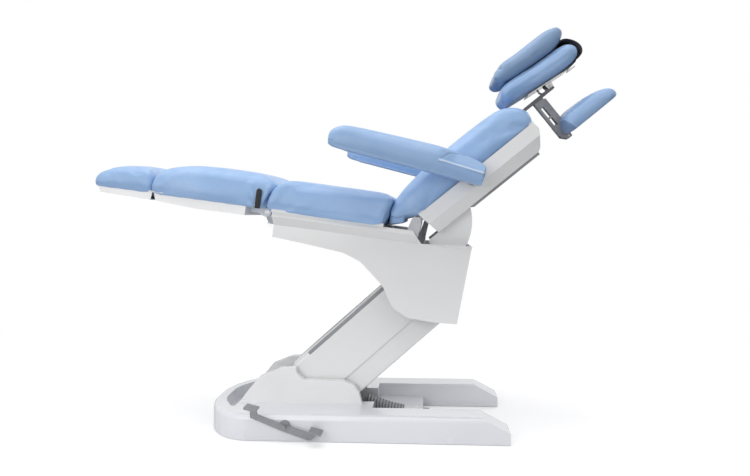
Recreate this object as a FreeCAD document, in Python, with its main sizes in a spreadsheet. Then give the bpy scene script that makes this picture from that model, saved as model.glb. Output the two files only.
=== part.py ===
import FreeCAD, Part
import math
import os
import Sketcher

# An electric facial bed: a cushioned top of seat, back, leg, foot and head sections on a
# parallelogram column that rises from a U shaped floor base. Millimetres, +Z up, +X to the head end,
# origin on the floor in the middle of the base. Angles are degrees in the XZ plane, up from +X.

doc = FreeCAD.newDocument("facial_bed")
sheet = doc.addObject("Spreadsheet::Sheet", "Sizes")

DIMENSIONS = {
    # base
    "baseFront": 540, "baseRear": 556, "baseWide": 660, "baseTall": 92,
    "baseRound": 180, "coverWall": 7, "coverEdgeRound": 20, "plateThick": 10, "coverLift": 2,
    "prongInside": 408, "bayFront": 262, "bayWide": 224, "bayStep": 75, "prongSlopeTall": 40,
    "prongSlopeLong": 98, "dishLong": 70, "dishDeep": 45, "dishRim": 45,
    "plateTongue": 250, "footScrew": 12, "footInset": 60,
    "cheekThick": 35, "cheekTall": 221, "cheekFront": 421, "cheekRear": 32,
    "panTall": 42, "panLong": 180,
    # column
    "armPivotX": -150, "armPivotZ": 202, "linkPivotX": -80, "linkPivotZ": 85.4,
    "armLength": 520, "armAngle": 41.5, "armTube": 50, "linkTube": 36, "armInside": 92, "armTubeWide": 38,
    "columnWide": 210, "columnFront": 65, "columnSeam": 97, "columnRear": 173.5, "columnWall": 4,
    "columnLow": 52, "columnShort": 45, "lowerCoverLow": 92, "lowerCoverShort": 56, "lowerCoverLap": 17,
    "panelThick": 8, "panelWide": 150, "slideGap": 2,
    "axleRadius": 12, "lugThick": 7, "lugWide": 60, "sideGap": 2, "tiltPinRadius": 10,
    # seat, in a frame that tilts about its pin
    "tiltPinX": 170, "tiltPinZ": 660, "seatTilt": 7.5, "seatWide": 560, "seatFront": 481,
    "seatTop": 181, "seatThick": 94, "boardThick": 12, "frameTube": 25,
    "seatFrameWide": 420, "frameRail": 40, "shroudFront": 463, "shroudRear": 256, "shroudTopWide": 480,
    "shroudLowWide": 370, "shroudDeep": 241, "shroudWall": 4, "shroudNose": 90, "shroudSweep": 70,
    "shroudFlareTop": 60, "shroudFlareLow": 30, "shroudRearTall": 46,
    # back, in a frame that turns about its hinge
    "backHingeU": 48.5, "backHingeW": 110, "backAngle": 46.5, "backWide": 500, "backLong": 548,
    "backCushionLow": 18, "backCushionTop": 106, "backShellLong": 526, "backShellDeep": 80,
    "backPanelThick": 9, "backSweep": 110, "hingePinRadius": 9, "tailRadius": 198, "tailWide": 348,
    # leg and foot, in the leg frame about its hinge
    "legHingeU": 489, "legHingeW": 72, "legLong": 411, "legCushionLow": 23, "legCushionTop": 123,
    "legShellDeep": 17, "legOverhang": 42,
    "footLong": 627, "footWide": 500, "footCushionTop": 95, "footShellDeep": 8, "footGap": 4,
    "softGap": 0.4,
    # arms
    "armrestS": 241, "armrestT": -10, "armrestTurn": 53.5, "armrestInside": 530, "armrestWide": 100,
    "armrestLong": 512, "armrestRear": 30, "armPadTop": 72, "armBoardThick": 22, "armBoltRadius": 8,
    # head section
    "headPostT": 70, "headPostThick": 12, "headPostWide": 50, "headPostBeyond": 158, "headPostIn": 150,
    "headTurn": 6, "headPadLong": 352, "headPadWide": 280, "headPadThick": 60, "headPadStart": 213,
    "headPinBack": 12, "headPinT": 80, "pillowThick": 50, "pillowLong": 296, "pillowWide": 280,
    "neckPinBack": 69, "neckPinT": -107, "neckPadLong": 205, "neckPadThick": 50, "neckPadWide": 260,
    "ratchetLong": 172,
    # actuators and pedal bar
    "motorRadius": 22, "rodRadius": 9, "freePinRadius": 6, "freeBore": 14,
    "leverRadius": 50, "leverAngle": 127.5, "backLeverRadius": 80, "backLeverAngle": 121.5,
    "pedalPivotX": -220, "pedalPivotZ": 58, "pedalBarThick": 6, "pedalClear": 20,
}


class Size:
    """A length or angle: its value, and the spreadsheet expression that gives it."""

    def __init__(self, value, text):
        self.value = float(value)
        self.text = text

    def __add__(self, other):
        other = size(other)
        return Size(self.value + other.value, f"({self.text} + {other.text})")

    def __sub__(self, other):
        other = size(other)
        return Size(self.value - other.value, f"({self.text} - {other.text})")

    def __mul__(self, other):
        other = size(other)
        return Size(self.value * other.value, f"({self.text} * {other.text})")

    def __truediv__(self, other):
        other = size(other)
        return Size(self.value / other.value, f"({self.text} / {other.text})")

    def __radd__(self, other):
        return size(other) + self

    def __rsub__(self, other):
        return size(other) - self

    def __rmul__(self, other):
        return size(other) * self

    def __neg__(self):
        return Size(-self.value, f"(-1 * {self.text})")


def size(number):
    return number if isinstance(number, Size) else Size(number, f"({number})")


def sine(angle):
    return Size(math.sin(math.radians(angle.value)), f"sin({angle.text})")


def cosine(angle):
    return Size(math.cos(math.radians(angle.value)), f"cos({angle.text})")


def root(number):
    return Size(math.sqrt(number.value), f"sqrt({number.text})")


def direction(dx, dz):
    """Angle of the line (dx, dz), as a plain number of degrees."""
    value = math.degrees(math.atan2(dz.value, dx.value))
    return Size(value, f"(atan2({dz.text}; {dx.text}) / 1 deg)")


class Dimensions:
    """The driving dimensions, by name."""


dim = Dimensions()
for row, (name, number) in enumerate(DIMENSIONS.items(), start=1):
    sheet.set(f"A{row}", name)
    sheet.set(f"B{row}", str(number))
    sheet.setAlias(f"B{row}", name)
    setattr(dim, name, Size(number, f"Sizes.{name}"))
doc.recompute()


class Frame:
    """A place in the XZ plane with an angle; sub-parts are drawn in it and ride with it."""

    def __init__(self, x, z, angle):
        self.x = size(x)
        self.z = size(z)
        self.angle = size(angle)

    def point(self, u, w):
        u, w = size(u), size(w)
        c, s = cosine(self.angle), sine(self.angle)
        return self.x + u * c - w * s, self.z + u * s + w * c

    def child(self, u, w, turn):
        x, z = self.point(u, w)
        return Frame(x, z, self.angle + turn)

    def place(self, item):
        item.Placement = FreeCAD.Placement(
            FreeCAD.Vector(0, 0, 0), FreeCAD.Rotation(FreeCAD.Vector(0, -1, 0), 1)
        )
        item.setExpression("Placement.Base.x", self.x.text)
        item.setExpression("Placement.Base.z", self.z.text)
        item.setExpression("Placement.Rotation.Angle", self.angle.text)


floorFrame = Frame(0, 0, 0)
columnFrame = Frame(dim.armPivotX, dim.armPivotZ, dim.armAngle)
linkFrame = Frame(dim.linkPivotX, dim.linkPivotZ, dim.armAngle)
seatFrame = Frame(dim.tiltPinX, dim.tiltPinZ, -dim.seatTilt)
backFrame = seatFrame.child(dim.backHingeU, dim.backHingeW, dim.backAngle)
legFrame = seatFrame.child(-dim.legHingeU, dim.legHingeW, 0)
armrestFrame = backFrame.child(dim.armrestS, dim.armrestT, -dim.armrestTurn)
postReach = dim.backLong + dim.headPostBeyond
headFrame = backFrame.child(postReach - dim.headPinBack, dim.headPinT, -dim.headTurn)
neckFrame = backFrame.child(postReach - dim.neckPinBack, dim.neckPinT, 0)

subParts = []


def keep(item, label):
    item.Label = label
    subParts.append(item)
    return item


def newBody(name, frame):
    body = doc.addObject("PartDesign::Body", name)
    frame.place(body)
    return body


def newSketch(body, plane, offset, outlines, circles=()):
    """Closed outlines of points, and circles (x, y, radius), on one of the body's origin planes."""
    sketch = body.newObject("Sketcher::SketchObject", "Sketch")
    support = [p for p in body.Origin.OriginFeatures if p.Role == plane][0]
    sketch.AttachmentSupport = [(support, "")]
    sketch.MapMode = "FlatFace"
    sketch.AttachmentOffset = FreeCAD.Placement(
        FreeCAD.Vector(0, 0, size(offset).value), FreeCAD.Rotation()
    )
    sketch.setExpression("AttachmentOffset.Base.z", size(offset).text)
    for outline in outlines:
        first = sketch.GeometryCount
        count = len(outline)
        for i in range(count):
            start, end = outline[i], outline[(i + 1) % count]
            sketch.addGeometry(
                Part.LineSegment(
                    FreeCAD.Vector(size(start[0]).value, size(start[1]).value, 0),
                    FreeCAD.Vector(size(end[0]).value, size(end[1]).value, 0),
                )
            )
        for i in range(count):
            sketch.addConstraint(
                Sketcher.Constraint("Coincident", first + i, 2, first + (i + 1) % count, 1)
            )
        for i, point in enumerate(outline):
            bindPoint(sketch, first + i, 1, point)
    for x, y, radius in circles:
        index = sketch.GeometryCount
        centre = FreeCAD.Vector(size(x).value, size(y).value, 0)
        sketch.addGeometry(Part.Circle(centre, FreeCAD.Vector(0, 0, 1), size(radius).value))
        bindPoint(sketch, index, 3, (x, y))
        number = sketch.addConstraint(Sketcher.Constraint("Radius", index, size(radius).value))
        sketch.setExpression(f"Constraints[{number}]", size(radius).text)
    return sketch


def bindPoint(sketch, index, corner, point):
    for kind, axis, value in (("DistanceX", -2, point[0]), ("DistanceY", -1, point[1])):
        value = size(value)
        if value.text == "(0)":
            sketch.addConstraint(Sketcher.Constraint("PointOnObject", index, corner, axis))
        else:
            number = sketch.addConstraint(
                Sketcher.Constraint(kind, -1, 1, index, corner, value.value)
            )
            sketch.setExpression(f"Constraints[{number}]", value.text)


def addPad(body, sketch, length, both=False, flip=False):
    pad = body.newObject("PartDesign::Pad", "Pad")
    pad.Profile = sketch
    pad.setExpression("Length", size(length).text)
    pad.Midplane = both
    pad.Reversed = flip
    return pad


def addPocket(body, sketch, length, both=False, flip=False):
    """A cut; it has to take something away."""
    doc.recompute()
    before = body.Shape.Volume
    pocket = body.newObject("PartDesign::Pocket", "Pocket")
    pocket.Profile = sketch
    pocket.setExpression("Length", size(length).text)
    pocket.Midplane = both
    pocket.Reversed = flip
    doc.recompute()
    if body.Shape.Volume > before - 1e-6:
        raise ValueError(f"{body.Name}: a pocket takes nothing away")
    return pocket


def addFillet(body, radius, wanted):
    """Round the edges that the test picks, given the middle of the edge and its direction."""
    doc.recompute()
    base = body.Tip
    names = []
    for number, edge in enumerate(base.Shape.Edges, start=1):
        middle = edge.valueAt((edge.FirstParameter + edge.LastParameter) / 2)
        along = edge.tangentAt((edge.FirstParameter + edge.LastParameter) / 2)
        if wanted(middle, along):
            names.append(f"Edge{number}")
    fillet = body.newObject("PartDesign::Fillet", "Fillet")
    fillet.Base = (base, names)
    fillet.setExpression("Radius", size(radius).text)
    doc.recompute()
    return fillet


def profile(name, frame, outline, low, high, holes=(), cuts=()):
    """An outline in the frame's XZ plane, carried from Y low to Y high."""
    body = newBody(name, frame)
    low, high = size(low), size(high)
    sketch = newSketch(body, "XZ_Plane", -high, [outline, *cuts], holes)
    addPad(body, sketch, high - low)
    return body


def rod(name, frame, u, w, radius, low, high):
    """A round bar along Y."""
    body = newBody(name, frame)
    sketch = newSketch(body, "XZ_Plane", -size(high), [], [(u, w, radius)])
    addPad(body, sketch, size(high) - size(low))
    return body


def group(label, items):
    compound = doc.addObject("Part::Compound", label)
    compound.Links = items
    return keep(compound, label)


def mirrored(item):
    mirror = doc.addObject("Part::Mirroring", item.Name + "_other")
    mirror.Source = item
    mirror.Normal = (0, 1, 0)
    mirror.Base = (0, 0, 0)
    return mirror


def pair(label, item):
    """The same piece on both sides of the bed."""
    return group(label, [item, mirrored(item)])


def slab(u0, u1, w0, w1):
    return [(u0, w0), (u1, w0), (u1, w1), (u0, w1)]


# Base: a U shaped steel plate under a white moulded cover, open between the prongs.

def footCurve(inset, turns):
    """The rounded foot end of the base seen from above, on the -Y side."""
    front, wide = dim.baseFront - inset, dim.baseWide / 2 - inset
    points = []
    for turn in turns:
        across = math.sin(math.radians(turn))
        along = 1 - math.cos(math.radians(turn))
        points.append((-front + dim.baseRound * along, wide * across))
    return points


def basePlan(inset):
    """Half outline of the base seen from above, on the -Y side, from the foot end to the bay."""
    rear, wide = dim.baseRear - inset, dim.baseWide / 2 - inset
    prong, bay = dim.prongInside / 2 + inset, dim.bayWide / 2 + inset
    return footCurve(inset, (14, 28, 42, 56, 70, 82, 90)) + [
        (rear, wide),
        (rear, prong),
        (dim.bayStep - inset, prong),
        (dim.bayStep - inset, bay),
        (-dim.bayFront - inset, bay),
    ]


def bothSides(half):
    return [(x, -size(y)) for x, y in half] + [(x, y) for x, y in reversed(half)]


dishTurn = 48


def baseSolid(name, inset, low, high):
    body = newBody(name, floorFrame)
    sketch = newSketch(body, "XY_Plane", low, [bothSides(basePlan(inset))])
    addPad(body, sketch, high - low)
    edge = (dim.baseRound - dim.baseFront).value + 1
    addFillet(body, dim.baseRound * 0.58, lambda m, a: abs(a.z) > 0.9 and m.x < edge)
    top, rear = high + 1, dim.baseRear - inset
    slope = [
        (rear + 1, dim.prongSlopeTall - inset),
        (rear + 1, top),
        (rear - dim.prongSlopeLong, top),
    ]
    sketch = newSketch(body, "XZ_Plane", 0, [slope])
    addPocket(body, sketch, dim.baseWide + 20, both=True)
    dishPlan = footCurve(dim.dishRim - inset, (14, 28, 42, dishTurn))
    dishEnd = -dim.baseFront + dim.dishRim + dim.dishLong + inset
    dishPlan.append((dishEnd, dishPlan[-1][1]))
    dishFloor = dim.baseTall - dim.dishDeep - inset
    sketch = newSketch(body, "XY_Plane", dishFloor, [bothSides(dishPlan)])
    addPocket(body, sketch, top - dishFloor, flip=True)
    return body


coverOuter = baseSolid("CoverOuter", size(0), dim.coverLift, dim.baseTall)
highest = dim.baseTall.value - 0.5
dishSide = (dim.baseWide / 2 - dim.dishRim).value * math.sin(math.radians(dishTurn)) + 4
footRim = (dim.dishRim - dim.baseFront).value - 1
addFillet(
    coverOuter,
    dim.coverEdgeRound,
    lambda m, a: m.z > highest and (abs(m.y) > dishSide or m.x < footRim),
)
coverInner = baseSolid("CoverInner", dim.coverWall, dim.coverLift - 10, dim.baseTall - dim.coverWall)
basePlate = newBody("BasePlate", floorFrame)
platePlan = basePlan(dim.coverWall)
tongueHalf = platePlan[:-3] + [(dim.plateTongue, dim.prongInside / 2 + dim.coverWall)]
feet = [
    (x, y, dim.footScrew)
    for x in (-dim.baseFront + dim.baseRound + dim.footInset, dim.baseRear - dim.footInset)
    for y in (-dim.baseWide / 2 + dim.footInset, dim.baseWide / 2 - dim.footInset)
]
sketch = newSketch(basePlate, "XY_Plane", 0, [bothSides(tongueHalf)], feet)
addPad(basePlate, sketch, dim.plateThick)
addFillet(
    basePlate,
    dim.baseRound * 0.58,
    lambda m, a: abs(a.z) > 0.9 and m.x < (dim.baseRound - dim.baseFront).value + 1 and abs(m.y) > 30,
)
keep(basePlate, "base_plate")

coverRoom = doc.addObject("Part::MultiFuse", "CoverRoom")
coverRoom.Shapes = [coverInner, basePlate]
baseCover = doc.addObject("Part::Cut", "BaseCover")
baseCover.Base = coverOuter
baseCover.Tool = coverRoom
keep(baseCover, "base_cover")

screws = []
for x, y, radius in feet:
    screw = newBody("FootScrew", Frame(x, 0, 0))
    screw.setExpression("Placement.Base.y", y.text)
    sketch = newSketch(screw, "XY_Plane", 0, [], [(0, 0, radius)])
    addPad(screw, sketch, dim.plateThick + 14)
    screws.append(screw)
group("levelling_feet", screws)

bayHalf = dim.bayWide / 2
cheekLine = [
    (-dim.cheekFront, dim.baseTall),
    (-dim.cheekFront + 20, dim.baseTall + 30),
    (-dim.cheekFront + 72, dim.cheekTall - 35),
    (-dim.cheekFront + 148, dim.cheekTall - 4),
    (-dim.cheekFront + 207, dim.cheekTall),
    (-dim.cheekFront + 213, dim.cheekTall - 22),
    (-dim.cheekFront + 237, dim.cheekTall - 44),
    (dim.cheekRear - 67, dim.cheekTall - 47),
    (dim.cheekRear - 30, dim.cheekTall - 63),
    (dim.cheekRear - 11, dim.cheekTall - 89),
    (dim.cheekRear, dim.baseTall),
]
cheek = profile("Cheek", floorFrame, cheekLine, bayHalf, bayHalf + dim.cheekThick)
pair("column_cheeks", cheek)

panHalf = dim.prongInside / 2
floorPan = newBody("FloorPan", floorFrame)
panStart, panEnd = dim.bayStep, dim.bayStep + dim.panLong
sketch = newSketch(floorPan, "XY_Plane", dim.plateThick, [slab(panStart, panEnd, -panHalf, panHalf)])
addPad(floorPan, sketch, dim.panTall - dim.plateThick)
panIn = panHalf - dim.coverWall
panInside = slab(panStart + dim.coverWall, panEnd - dim.coverWall, -panIn, panIn)
sketch = newSketch(floorPan, "XY_Plane", dim.plateThick, [panInside])
addPocket(floorPan, sketch, dim.panTall - dim.plateThick - dim.coverWall, flip=True)
keep(floorPan, "floor_pan")

lugInner = dim.armInside / 2 + dim.armTubeWide + dim.sideGap
lugOuter = lugInner + dim.lugThick
ax, az, bx, bz = dim.armPivotX, dim.armPivotZ, dim.linkPivotX, dim.linkPivotZ
half = dim.lugWide / 2
lugLine = [
    (ax - half, dim.plateThick),
    (bx + half + 10, dim.plateThick),
    (bx + half, bz + 8),
    (ax + half, az + 12),
    (ax + 14, az + half - 4),
    (ax - 14, az + half - 4),
    (ax - half, az + 8),
]
axleHoles = [(ax, az, dim.axleRadius), (bx, bz, dim.axleRadius)]
columnLug = profile("ColumnLug", floorFrame, lugLine, lugInner, lugOuter, axleHoles)
group(
    "lower_axles",
    [rod("LowerAxle", floorFrame, x, z, radius, -lugOuter, lugOuter) for x, z, radius in axleHoles],
)

boxLow = dim.plateThick
controlBox = newBody("ControlBox", floorFrame)
boxStart = -dim.baseFront + dim.dishRim + dim.dishLong + dim.coverWall + 12
sketch = newSketch(controlBox, "XY_Plane", boxLow, [slab(boxStart, boxStart + 120, -95, 95)])
addPad(controlBox, sketch, 62)
addFillet(controlBox, 6, lambda m, a: abs(a.z) > 0.9 or m.z > 62)
keep(controlBox, "control_box")

inlet = newBody("PowerInlet", floorFrame)
inletLow = dim.plateThick + 4
sketch = newSketch(inlet, "XY_Plane", inletLow, [slab(panEnd, panEnd + 24, -24, 24)])
addPad(inlet, sketch, 24)
sketch = newSketch(inlet, "XZ_Plane", 0, [slab(panEnd + 8, panEnd + 26, inletLow + 5, inletLow + 19)])
addPocket(inlet, sketch, 28, both=True)
keep(inlet, "power_inlet")

bellowsLine = [
    (panStart + 2, dim.panTall),
    (panStart + 118, dim.panTall),
    (panStart + 118, dim.panTall + 14),
    (panStart - 40, dim.panTall + 56),
    (panStart - 55, dim.panTall + 26),
]
keep(profile("Bellows", floorFrame, bellowsLine, -70, 70), "column_bellows")

# Foot bar: a steel rocker on the near side of the base, with a pedal at each end.

pedalX, pedalZ = dim.pedalPivotX, dim.pedalPivotZ
barOut = -(dim.baseWide / 2 + dim.pedalClear)
barIn = barOut + dim.pedalBarThick
barLine = [
    (pedalX - 119, pedalZ + 70),
    (pedalX - 96, pedalZ + 66),
    (pedalX - 92, pedalZ + 40),
    (pedalX - 12, pedalZ + 10),
    (pedalX + 83, pedalZ - 20),
    (pedalX + 99, pedalZ - 11),
    (pedalX + 102, pedalZ - 3),
    (pedalX + 124, pedalZ - 9),
    (pedalX + 123, pedalZ - 20),
    (pedalX + 94, pedalZ - 46),
    (pedalX + 80, pedalZ - 46),
    (pedalX - 12, pedalZ - 14),
    (pedalX - 117, pedalZ + 28),
]
rockerBar = newBody("RockerBar", floorFrame)
barHole = (pedalX, pedalZ - 1, dim.freePinRadius + 0.3)
sketch = newSketch(rockerBar, "XZ_Plane", -barIn, [barLine], [barHole])
addPad(rockerBar, sketch, dim.pedalBarThick)
upperPedal = [
    (pedalX - 127, pedalZ + 77),
    (pedalX - 85, pedalZ + 67),
    (pedalX - 86, pedalZ + 61),
    (pedalX - 128, pedalZ + 71),
]
lowerPedal = [
    (pedalX + 95, pedalZ),
    (pedalX + 136, pedalZ - 11),
    (pedalX + 135, pedalZ - 17),
    (pedalX + 94, pedalZ - 6),
]
sketch = newSketch(rockerBar, "XZ_Plane", -barIn, [upperPedal])
addPad(rockerBar, sketch, 62)
sketch = newSketch(rockerBar, "XZ_Plane", -barIn, [lowerPedal])
addPad(rockerBar, sketch, 62)
keep(rockerBar, "rocker_bar")
coverSide = -dim.baseWide / 2
rockerPin = rod("RockerPin", floorFrame, pedalX, pedalZ - 1, dim.freePinRadius, barOut - 8, coverSide)
rockerWasher = rod("RockerWasher", floorFrame, pedalX, pedalZ - 1, 19, barIn + 0.5, coverSide)
rockerHead = rod("RockerHead", floorFrame, pedalX, pedalZ - 1, 8, barOut - 14, barOut - 6.5)
rockerFuse = doc.addObject("Part::MultiFuse", "RockerPivot")
rockerFuse.Shapes = [rockerPin, rockerWasher, rockerHead]
keep(rockerFuse, "rocker_pivot")


# Column: two pairs of arms keep the carriage level, each with its own white cover.

def armPair(name, label, frame, tube, crossAt, drivePin, blockAt, blockLow, blockHigh):
    """Twin bars on two bores, joined by round cross tubes, with blocks that carry the cover."""
    inner, outer = dim.armInside / 2, dim.armInside / 2 + dim.armTubeWide
    bore = dim.axleRadius + 0.3
    end = tube / 2 + 3
    outline = slab(-end, dim.armLength + end, -tube / 2, tube / 2)
    bar = profile(name + "Bar", frame, outline, inner, outer, [(0, 0, bore), (dim.armLength, 0, bore)])
    pieces = [bar, mirrored(bar)]
    for u in crossAt:
        pieces.append(rod(name + "Cross", frame, u, 0, dim.linkTube / 2 - 3, -inner - 1, inner + 1))
    for u in drivePin:
        pieces.append(rod(name + "Pin", frame, u, 0, dim.freePinRadius, -inner - 1, inner + 1))
    for u in blockAt:
        block = profile(name + "Block", frame, slab(u - 15, u + 15, blockLow, blockHigh), inner, outer)
        pieces += [block, mirrored(block)]
    fuse = doc.addObject("Part::MultiFuse", name)
    fuse.Shapes = pieces
    return keep(fuse, label)


driveU = size(330)
linkDrop = (bx - ax) * sine(dim.armAngle) + (az - bz) * cosine(dim.armAngle)
coverTop = dim.columnFront - dim.columnWall
coverFloor = linkDrop - dim.columnRear + dim.columnWall
blockAt = [size(150), size(400)]
armPair(
    "MainArm", "main_arm", columnFrame, dim.armTube, [driveU + 100], [driveU],
    blockAt, dim.armTube / 2 - 1, coverTop,
)
armPair(
    "LowerLink", "lower_link", linkFrame, dim.linkTube, [size(300)], [],
    blockAt, coverFloor, 1 - dim.linkTube / 2,
)


def channel(name, frame, u0, u1, low, high, wide, wall, openSide):
    """A cover of U section along the column, open at both ends and on one side."""
    body = newBody(name, frame)
    sketch = newSketch(body, "XZ_Plane", 0, [slab(u0, u1, low, high)])
    addPad(body, sketch, wide, both=True)
    edgeOut = (wide / 2).value - 0.5
    closed = high.value if openSide == "low" else low.value
    addFillet(body, wall * 2, lambda m, a: abs(m.y) > edgeOut and abs(m.z - closed) < 0.5)
    if openSide == "low":
        inner = slab(u0 - 1, u1 + 1, low - 1, high - wall)
    else:
        inner = slab(u0 - 1, u1 + 1, low + wall, high + 1)
    sketch = newSketch(body, "XZ_Plane", 0, [inner])
    addPocket(body, sketch, wide - wall * 2, both=True)
    return body


columnEnd = dim.armLength - dim.columnShort
columnCover = channel(
    "ColumnCover", columnFrame, -dim.columnLow, columnEnd, -dim.columnSeam, dim.columnFront,
    dim.columnWide, dim.columnWall, "low",
)
keep(columnCover, "column_cover")
lowerCover = channel(
    "LowerCover", linkFrame, dim.lowerCoverLow, dim.armLength - dim.lowerCoverShort / 2,
    linkDrop - dim.columnRear, linkDrop - dim.columnSeam + dim.lowerCoverLap,
    dim.columnWide - dim.columnWall * 2 - dim.slideGap * 2, dim.columnWall, "high",
)
notch = slab(dim.lowerCoverLow - 1, dim.lowerCoverLow + 26, -dim.motorRadius - 6, dim.motorRadius + 6)
sketch = newSketch(lowerCover, "XY_Plane", linkDrop - dim.columnRear - 1, [notch])
addPocket(lowerCover, sketch, dim.columnWall + 2, flip=True)
keep(lowerCover, "lower_cover")
panelHalf = dim.panelWide / 2
panelLine = slab(-dim.columnLow + 6, columnEnd - 4, dim.columnFront, dim.columnFront + dim.panelThick)
columnPanel = profile("ColumnPanel", columnFrame, panelLine, -panelHalf, panelHalf)
addFillet(columnPanel, 3, lambda m, a: m.z > (dim.columnFront + dim.panelThick).value - 0.5)
keep(columnPanel, "column_panel")

# Carriage: side plates that join the upper ends of the arms to the tilt pin of the seat.

upperArmX, upperArmZ = columnFrame.point(dim.armLength, 0)
upperLinkX, upperLinkZ = linkFrame.point(dim.armLength, 0)
spineX, spineZ = dim.tiltPinX - upperArmX, dim.tiltPinZ - upperArmZ
carriageLine = [
    (upperLinkX - 22, upperLinkZ - 26),
    (upperLinkX + 26, upperLinkZ - 20),
    (upperLinkX + 32, upperLinkZ + 12),
    (upperArmX + 30, upperArmZ + 14),
    (dim.tiltPinX + 28, dim.tiltPinZ + 12),
    (dim.tiltPinX + 6, dim.tiltPinZ + 28),
    (dim.tiltPinX - 24, dim.tiltPinZ + 14),
    (dim.tiltPinX - 27, dim.tiltPinZ - 10),
    (upperArmX + spineX * 0.617 - 3, upperArmZ + spineZ * 0.617 - 2),
    (upperArmX + spineX * 0.478 - 7, upperArmZ + spineZ * 0.478 - 4),
    (upperArmX - 30, upperArmZ - 14),
]
carriageHoles = [
    (upperArmX, upperArmZ, dim.axleRadius),
    (upperLinkX, upperLinkZ, dim.axleRadius),
    (dim.tiltPinX, dim.tiltPinZ, dim.tiltPinRadius),
]
carriagePlate = profile("CarriagePlate", floorFrame, carriageLine, lugInner, lugOuter, carriageHoles)
pair("carriage_plates", carriagePlate)
seatLugInner = lugOuter + dim.sideGap
seatLugOuter = seatLugInner + dim.lugThick + 3
upperAxles = [
    rod("UpperArmAxle", floorFrame, upperArmX, upperArmZ, dim.axleRadius, -lugOuter, lugOuter),
    rod("UpperLinkAxle", floorFrame, upperLinkX, upperLinkZ, dim.axleRadius, -lugOuter, lugOuter),
    rod("TiltPin", floorFrame, dim.tiltPinX, dim.tiltPinZ, dim.tiltPinRadius, -seatLugOuter, seatLugOuter),
]
group("upper_axles", upperAxles)


# Seat: a steel ladder frame on the tilt pin, a white shroud round it, a board and a cushion.

boardTop = dim.seatTop - dim.seatThick
frameTop = boardTop - dim.boardThick
frameLow = frameTop - dim.frameTube
seatRailOut = dim.seatFrameWide / 2
seatRailIn = seatRailOut - dim.frameRail
innerRailIn = seatLugInner - 2
innerRailOut = innerRailIn + dim.frameRail
ladderFront = -dim.shroudFront + dim.shroudWall
crossRear = size(-40)
railEnd = dim.backHingeU + 12
innerEnd = size(30)


def comb(y0, y1, end):
    return [(crossRear, y0), (end, y0), (end, y1), (crossRear, y1)]


ladderPlan = [
    (ladderFront, -seatRailOut),
    (railEnd, -seatRailOut),
    (railEnd, -seatRailIn),
    (crossRear, -seatRailIn),
    *comb(-innerRailOut, -innerRailIn, innerEnd),
    *comb(innerRailIn, innerRailOut, innerEnd),
    (crossRear, seatRailIn),
    (railEnd, seatRailIn),
    (railEnd, seatRailOut),
    (ladderFront, seatRailOut),
]
ladder = newBody("SeatLadder", seatFrame)
sketch = newSketch(ladder, "XY_Plane", frameLow, [ladderPlan])
addPad(ladder, sketch, dim.frameTube)
windowFront, windowRear = ladderFront + 30, crossRear - 30
windows = [
    slab(windowFront, windowRear, -innerRailIn, innerRailIn),
    slab(windowFront, windowRear, innerRailOut, seatRailIn),
    slab(windowFront, windowRear, -seatRailIn, -innerRailOut),
]
sketch = newSketch(ladder, "XY_Plane", frameLow, windows)
addPocket(ladder, sketch, dim.frameTube, flip=True)

pinGap = size(0.3)
leverGap = size(8)
leverThick = size(5)
tiltLeverU, tiltLeverW = size(120), size(8)
tiltLugLine = [
    (-34, frameLow),
    (28, frameLow),
    (36, 28),
    (tiltLeverU + 6, tiltLeverW + 18),
    (tiltLeverU + 14, tiltLeverW + 10),
    (tiltLeverU + 14, tiltLeverW - 12),
    (tiltLeverU + 6, tiltLeverW - 18),
    (26, -20),
    (8, -24),
    (-12, -24),
    (-25, -12),
]
tiltLug = profile(
    "TiltLug", seatFrame, tiltLugLine, seatLugInner, seatLugOuter, [(0, 0, dim.tiltPinRadius + pinGap)]
)
tiltCross = rod(
    "TiltCross", seatFrame, tiltLeverU, tiltLeverW, dim.freePinRadius, -seatLugInner - 1, seatLugInner + 1
)


def lever(name, frame, line, u, w, y):
    """Two plates and the pin between them."""
    plates = []
    for low in (y - leverGap - leverThick, y + leverGap):
        plates.append(profile(name + "Plate", frame, line, low, low + leverThick))
    pin = rod(name + "Pin", frame, u, w, dim.freePinRadius, y - leverGap - 1, y + leverGap + 1)
    return plates + [pin]


backMotorY, legMotorY = size(-55), size(55)
backMotorU, backMotorW = size(-330), size(32)
legMotorU, legMotorW = size(-200), size(20)
backMountLine = [
    (windowFront - 8, frameLow + 2),
    (windowFront - 8, frameTop - 2),
    (backMotorU - 6, backMotorW + 14),
    (backMotorU + 8, backMotorW + 11),
    (backMotorU + 12, backMotorW - 6),
    (backMotorU - 2, backMotorW - 13),
]
legMountLine = [
    (windowRear + 5, frameTop - 2),
    (windowRear + 5, frameLow + 2),
    (legMotorU + 4, legMotorW - 13),
    (legMotorU - 10, legMotorW - 8),
    (legMotorU - 12, legMotorW + 6),
    (legMotorU - 2, legMotorW + 14),
]
motorMounts = lever("BackMount", seatFrame, backMountLine, backMotorU, backMotorW, backMotorY)
motorMounts += lever("LegMount", seatFrame, legMountLine, legMotorU, legMotorW, legMotorY)
hingeU, hingeW = dim.backHingeU, dim.backHingeW
backLugInner = seatRailOut - 20
backLugOuter = backLugInner + 12
backLugLine = [
    (hingeU - 36, frameLow),
    (hingeU + 12, frameLow),
    (hingeU + 18, hingeW - 8),
    (hingeU + 14, hingeW + 13),
    (hingeU - 10, hingeW + 16),
    (hingeU - 18, hingeW + 4),
]
backLug = profile(
    "BackLug", seatFrame, backLugLine, backLugInner, backLugOuter, [(hingeU, hingeW, dim.hingePinRadius)]
)
legU, legW = -dim.legHingeU, dim.legHingeW
legLugInner = backLugInner - 14
legLugOuter = legLugInner + 12
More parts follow.
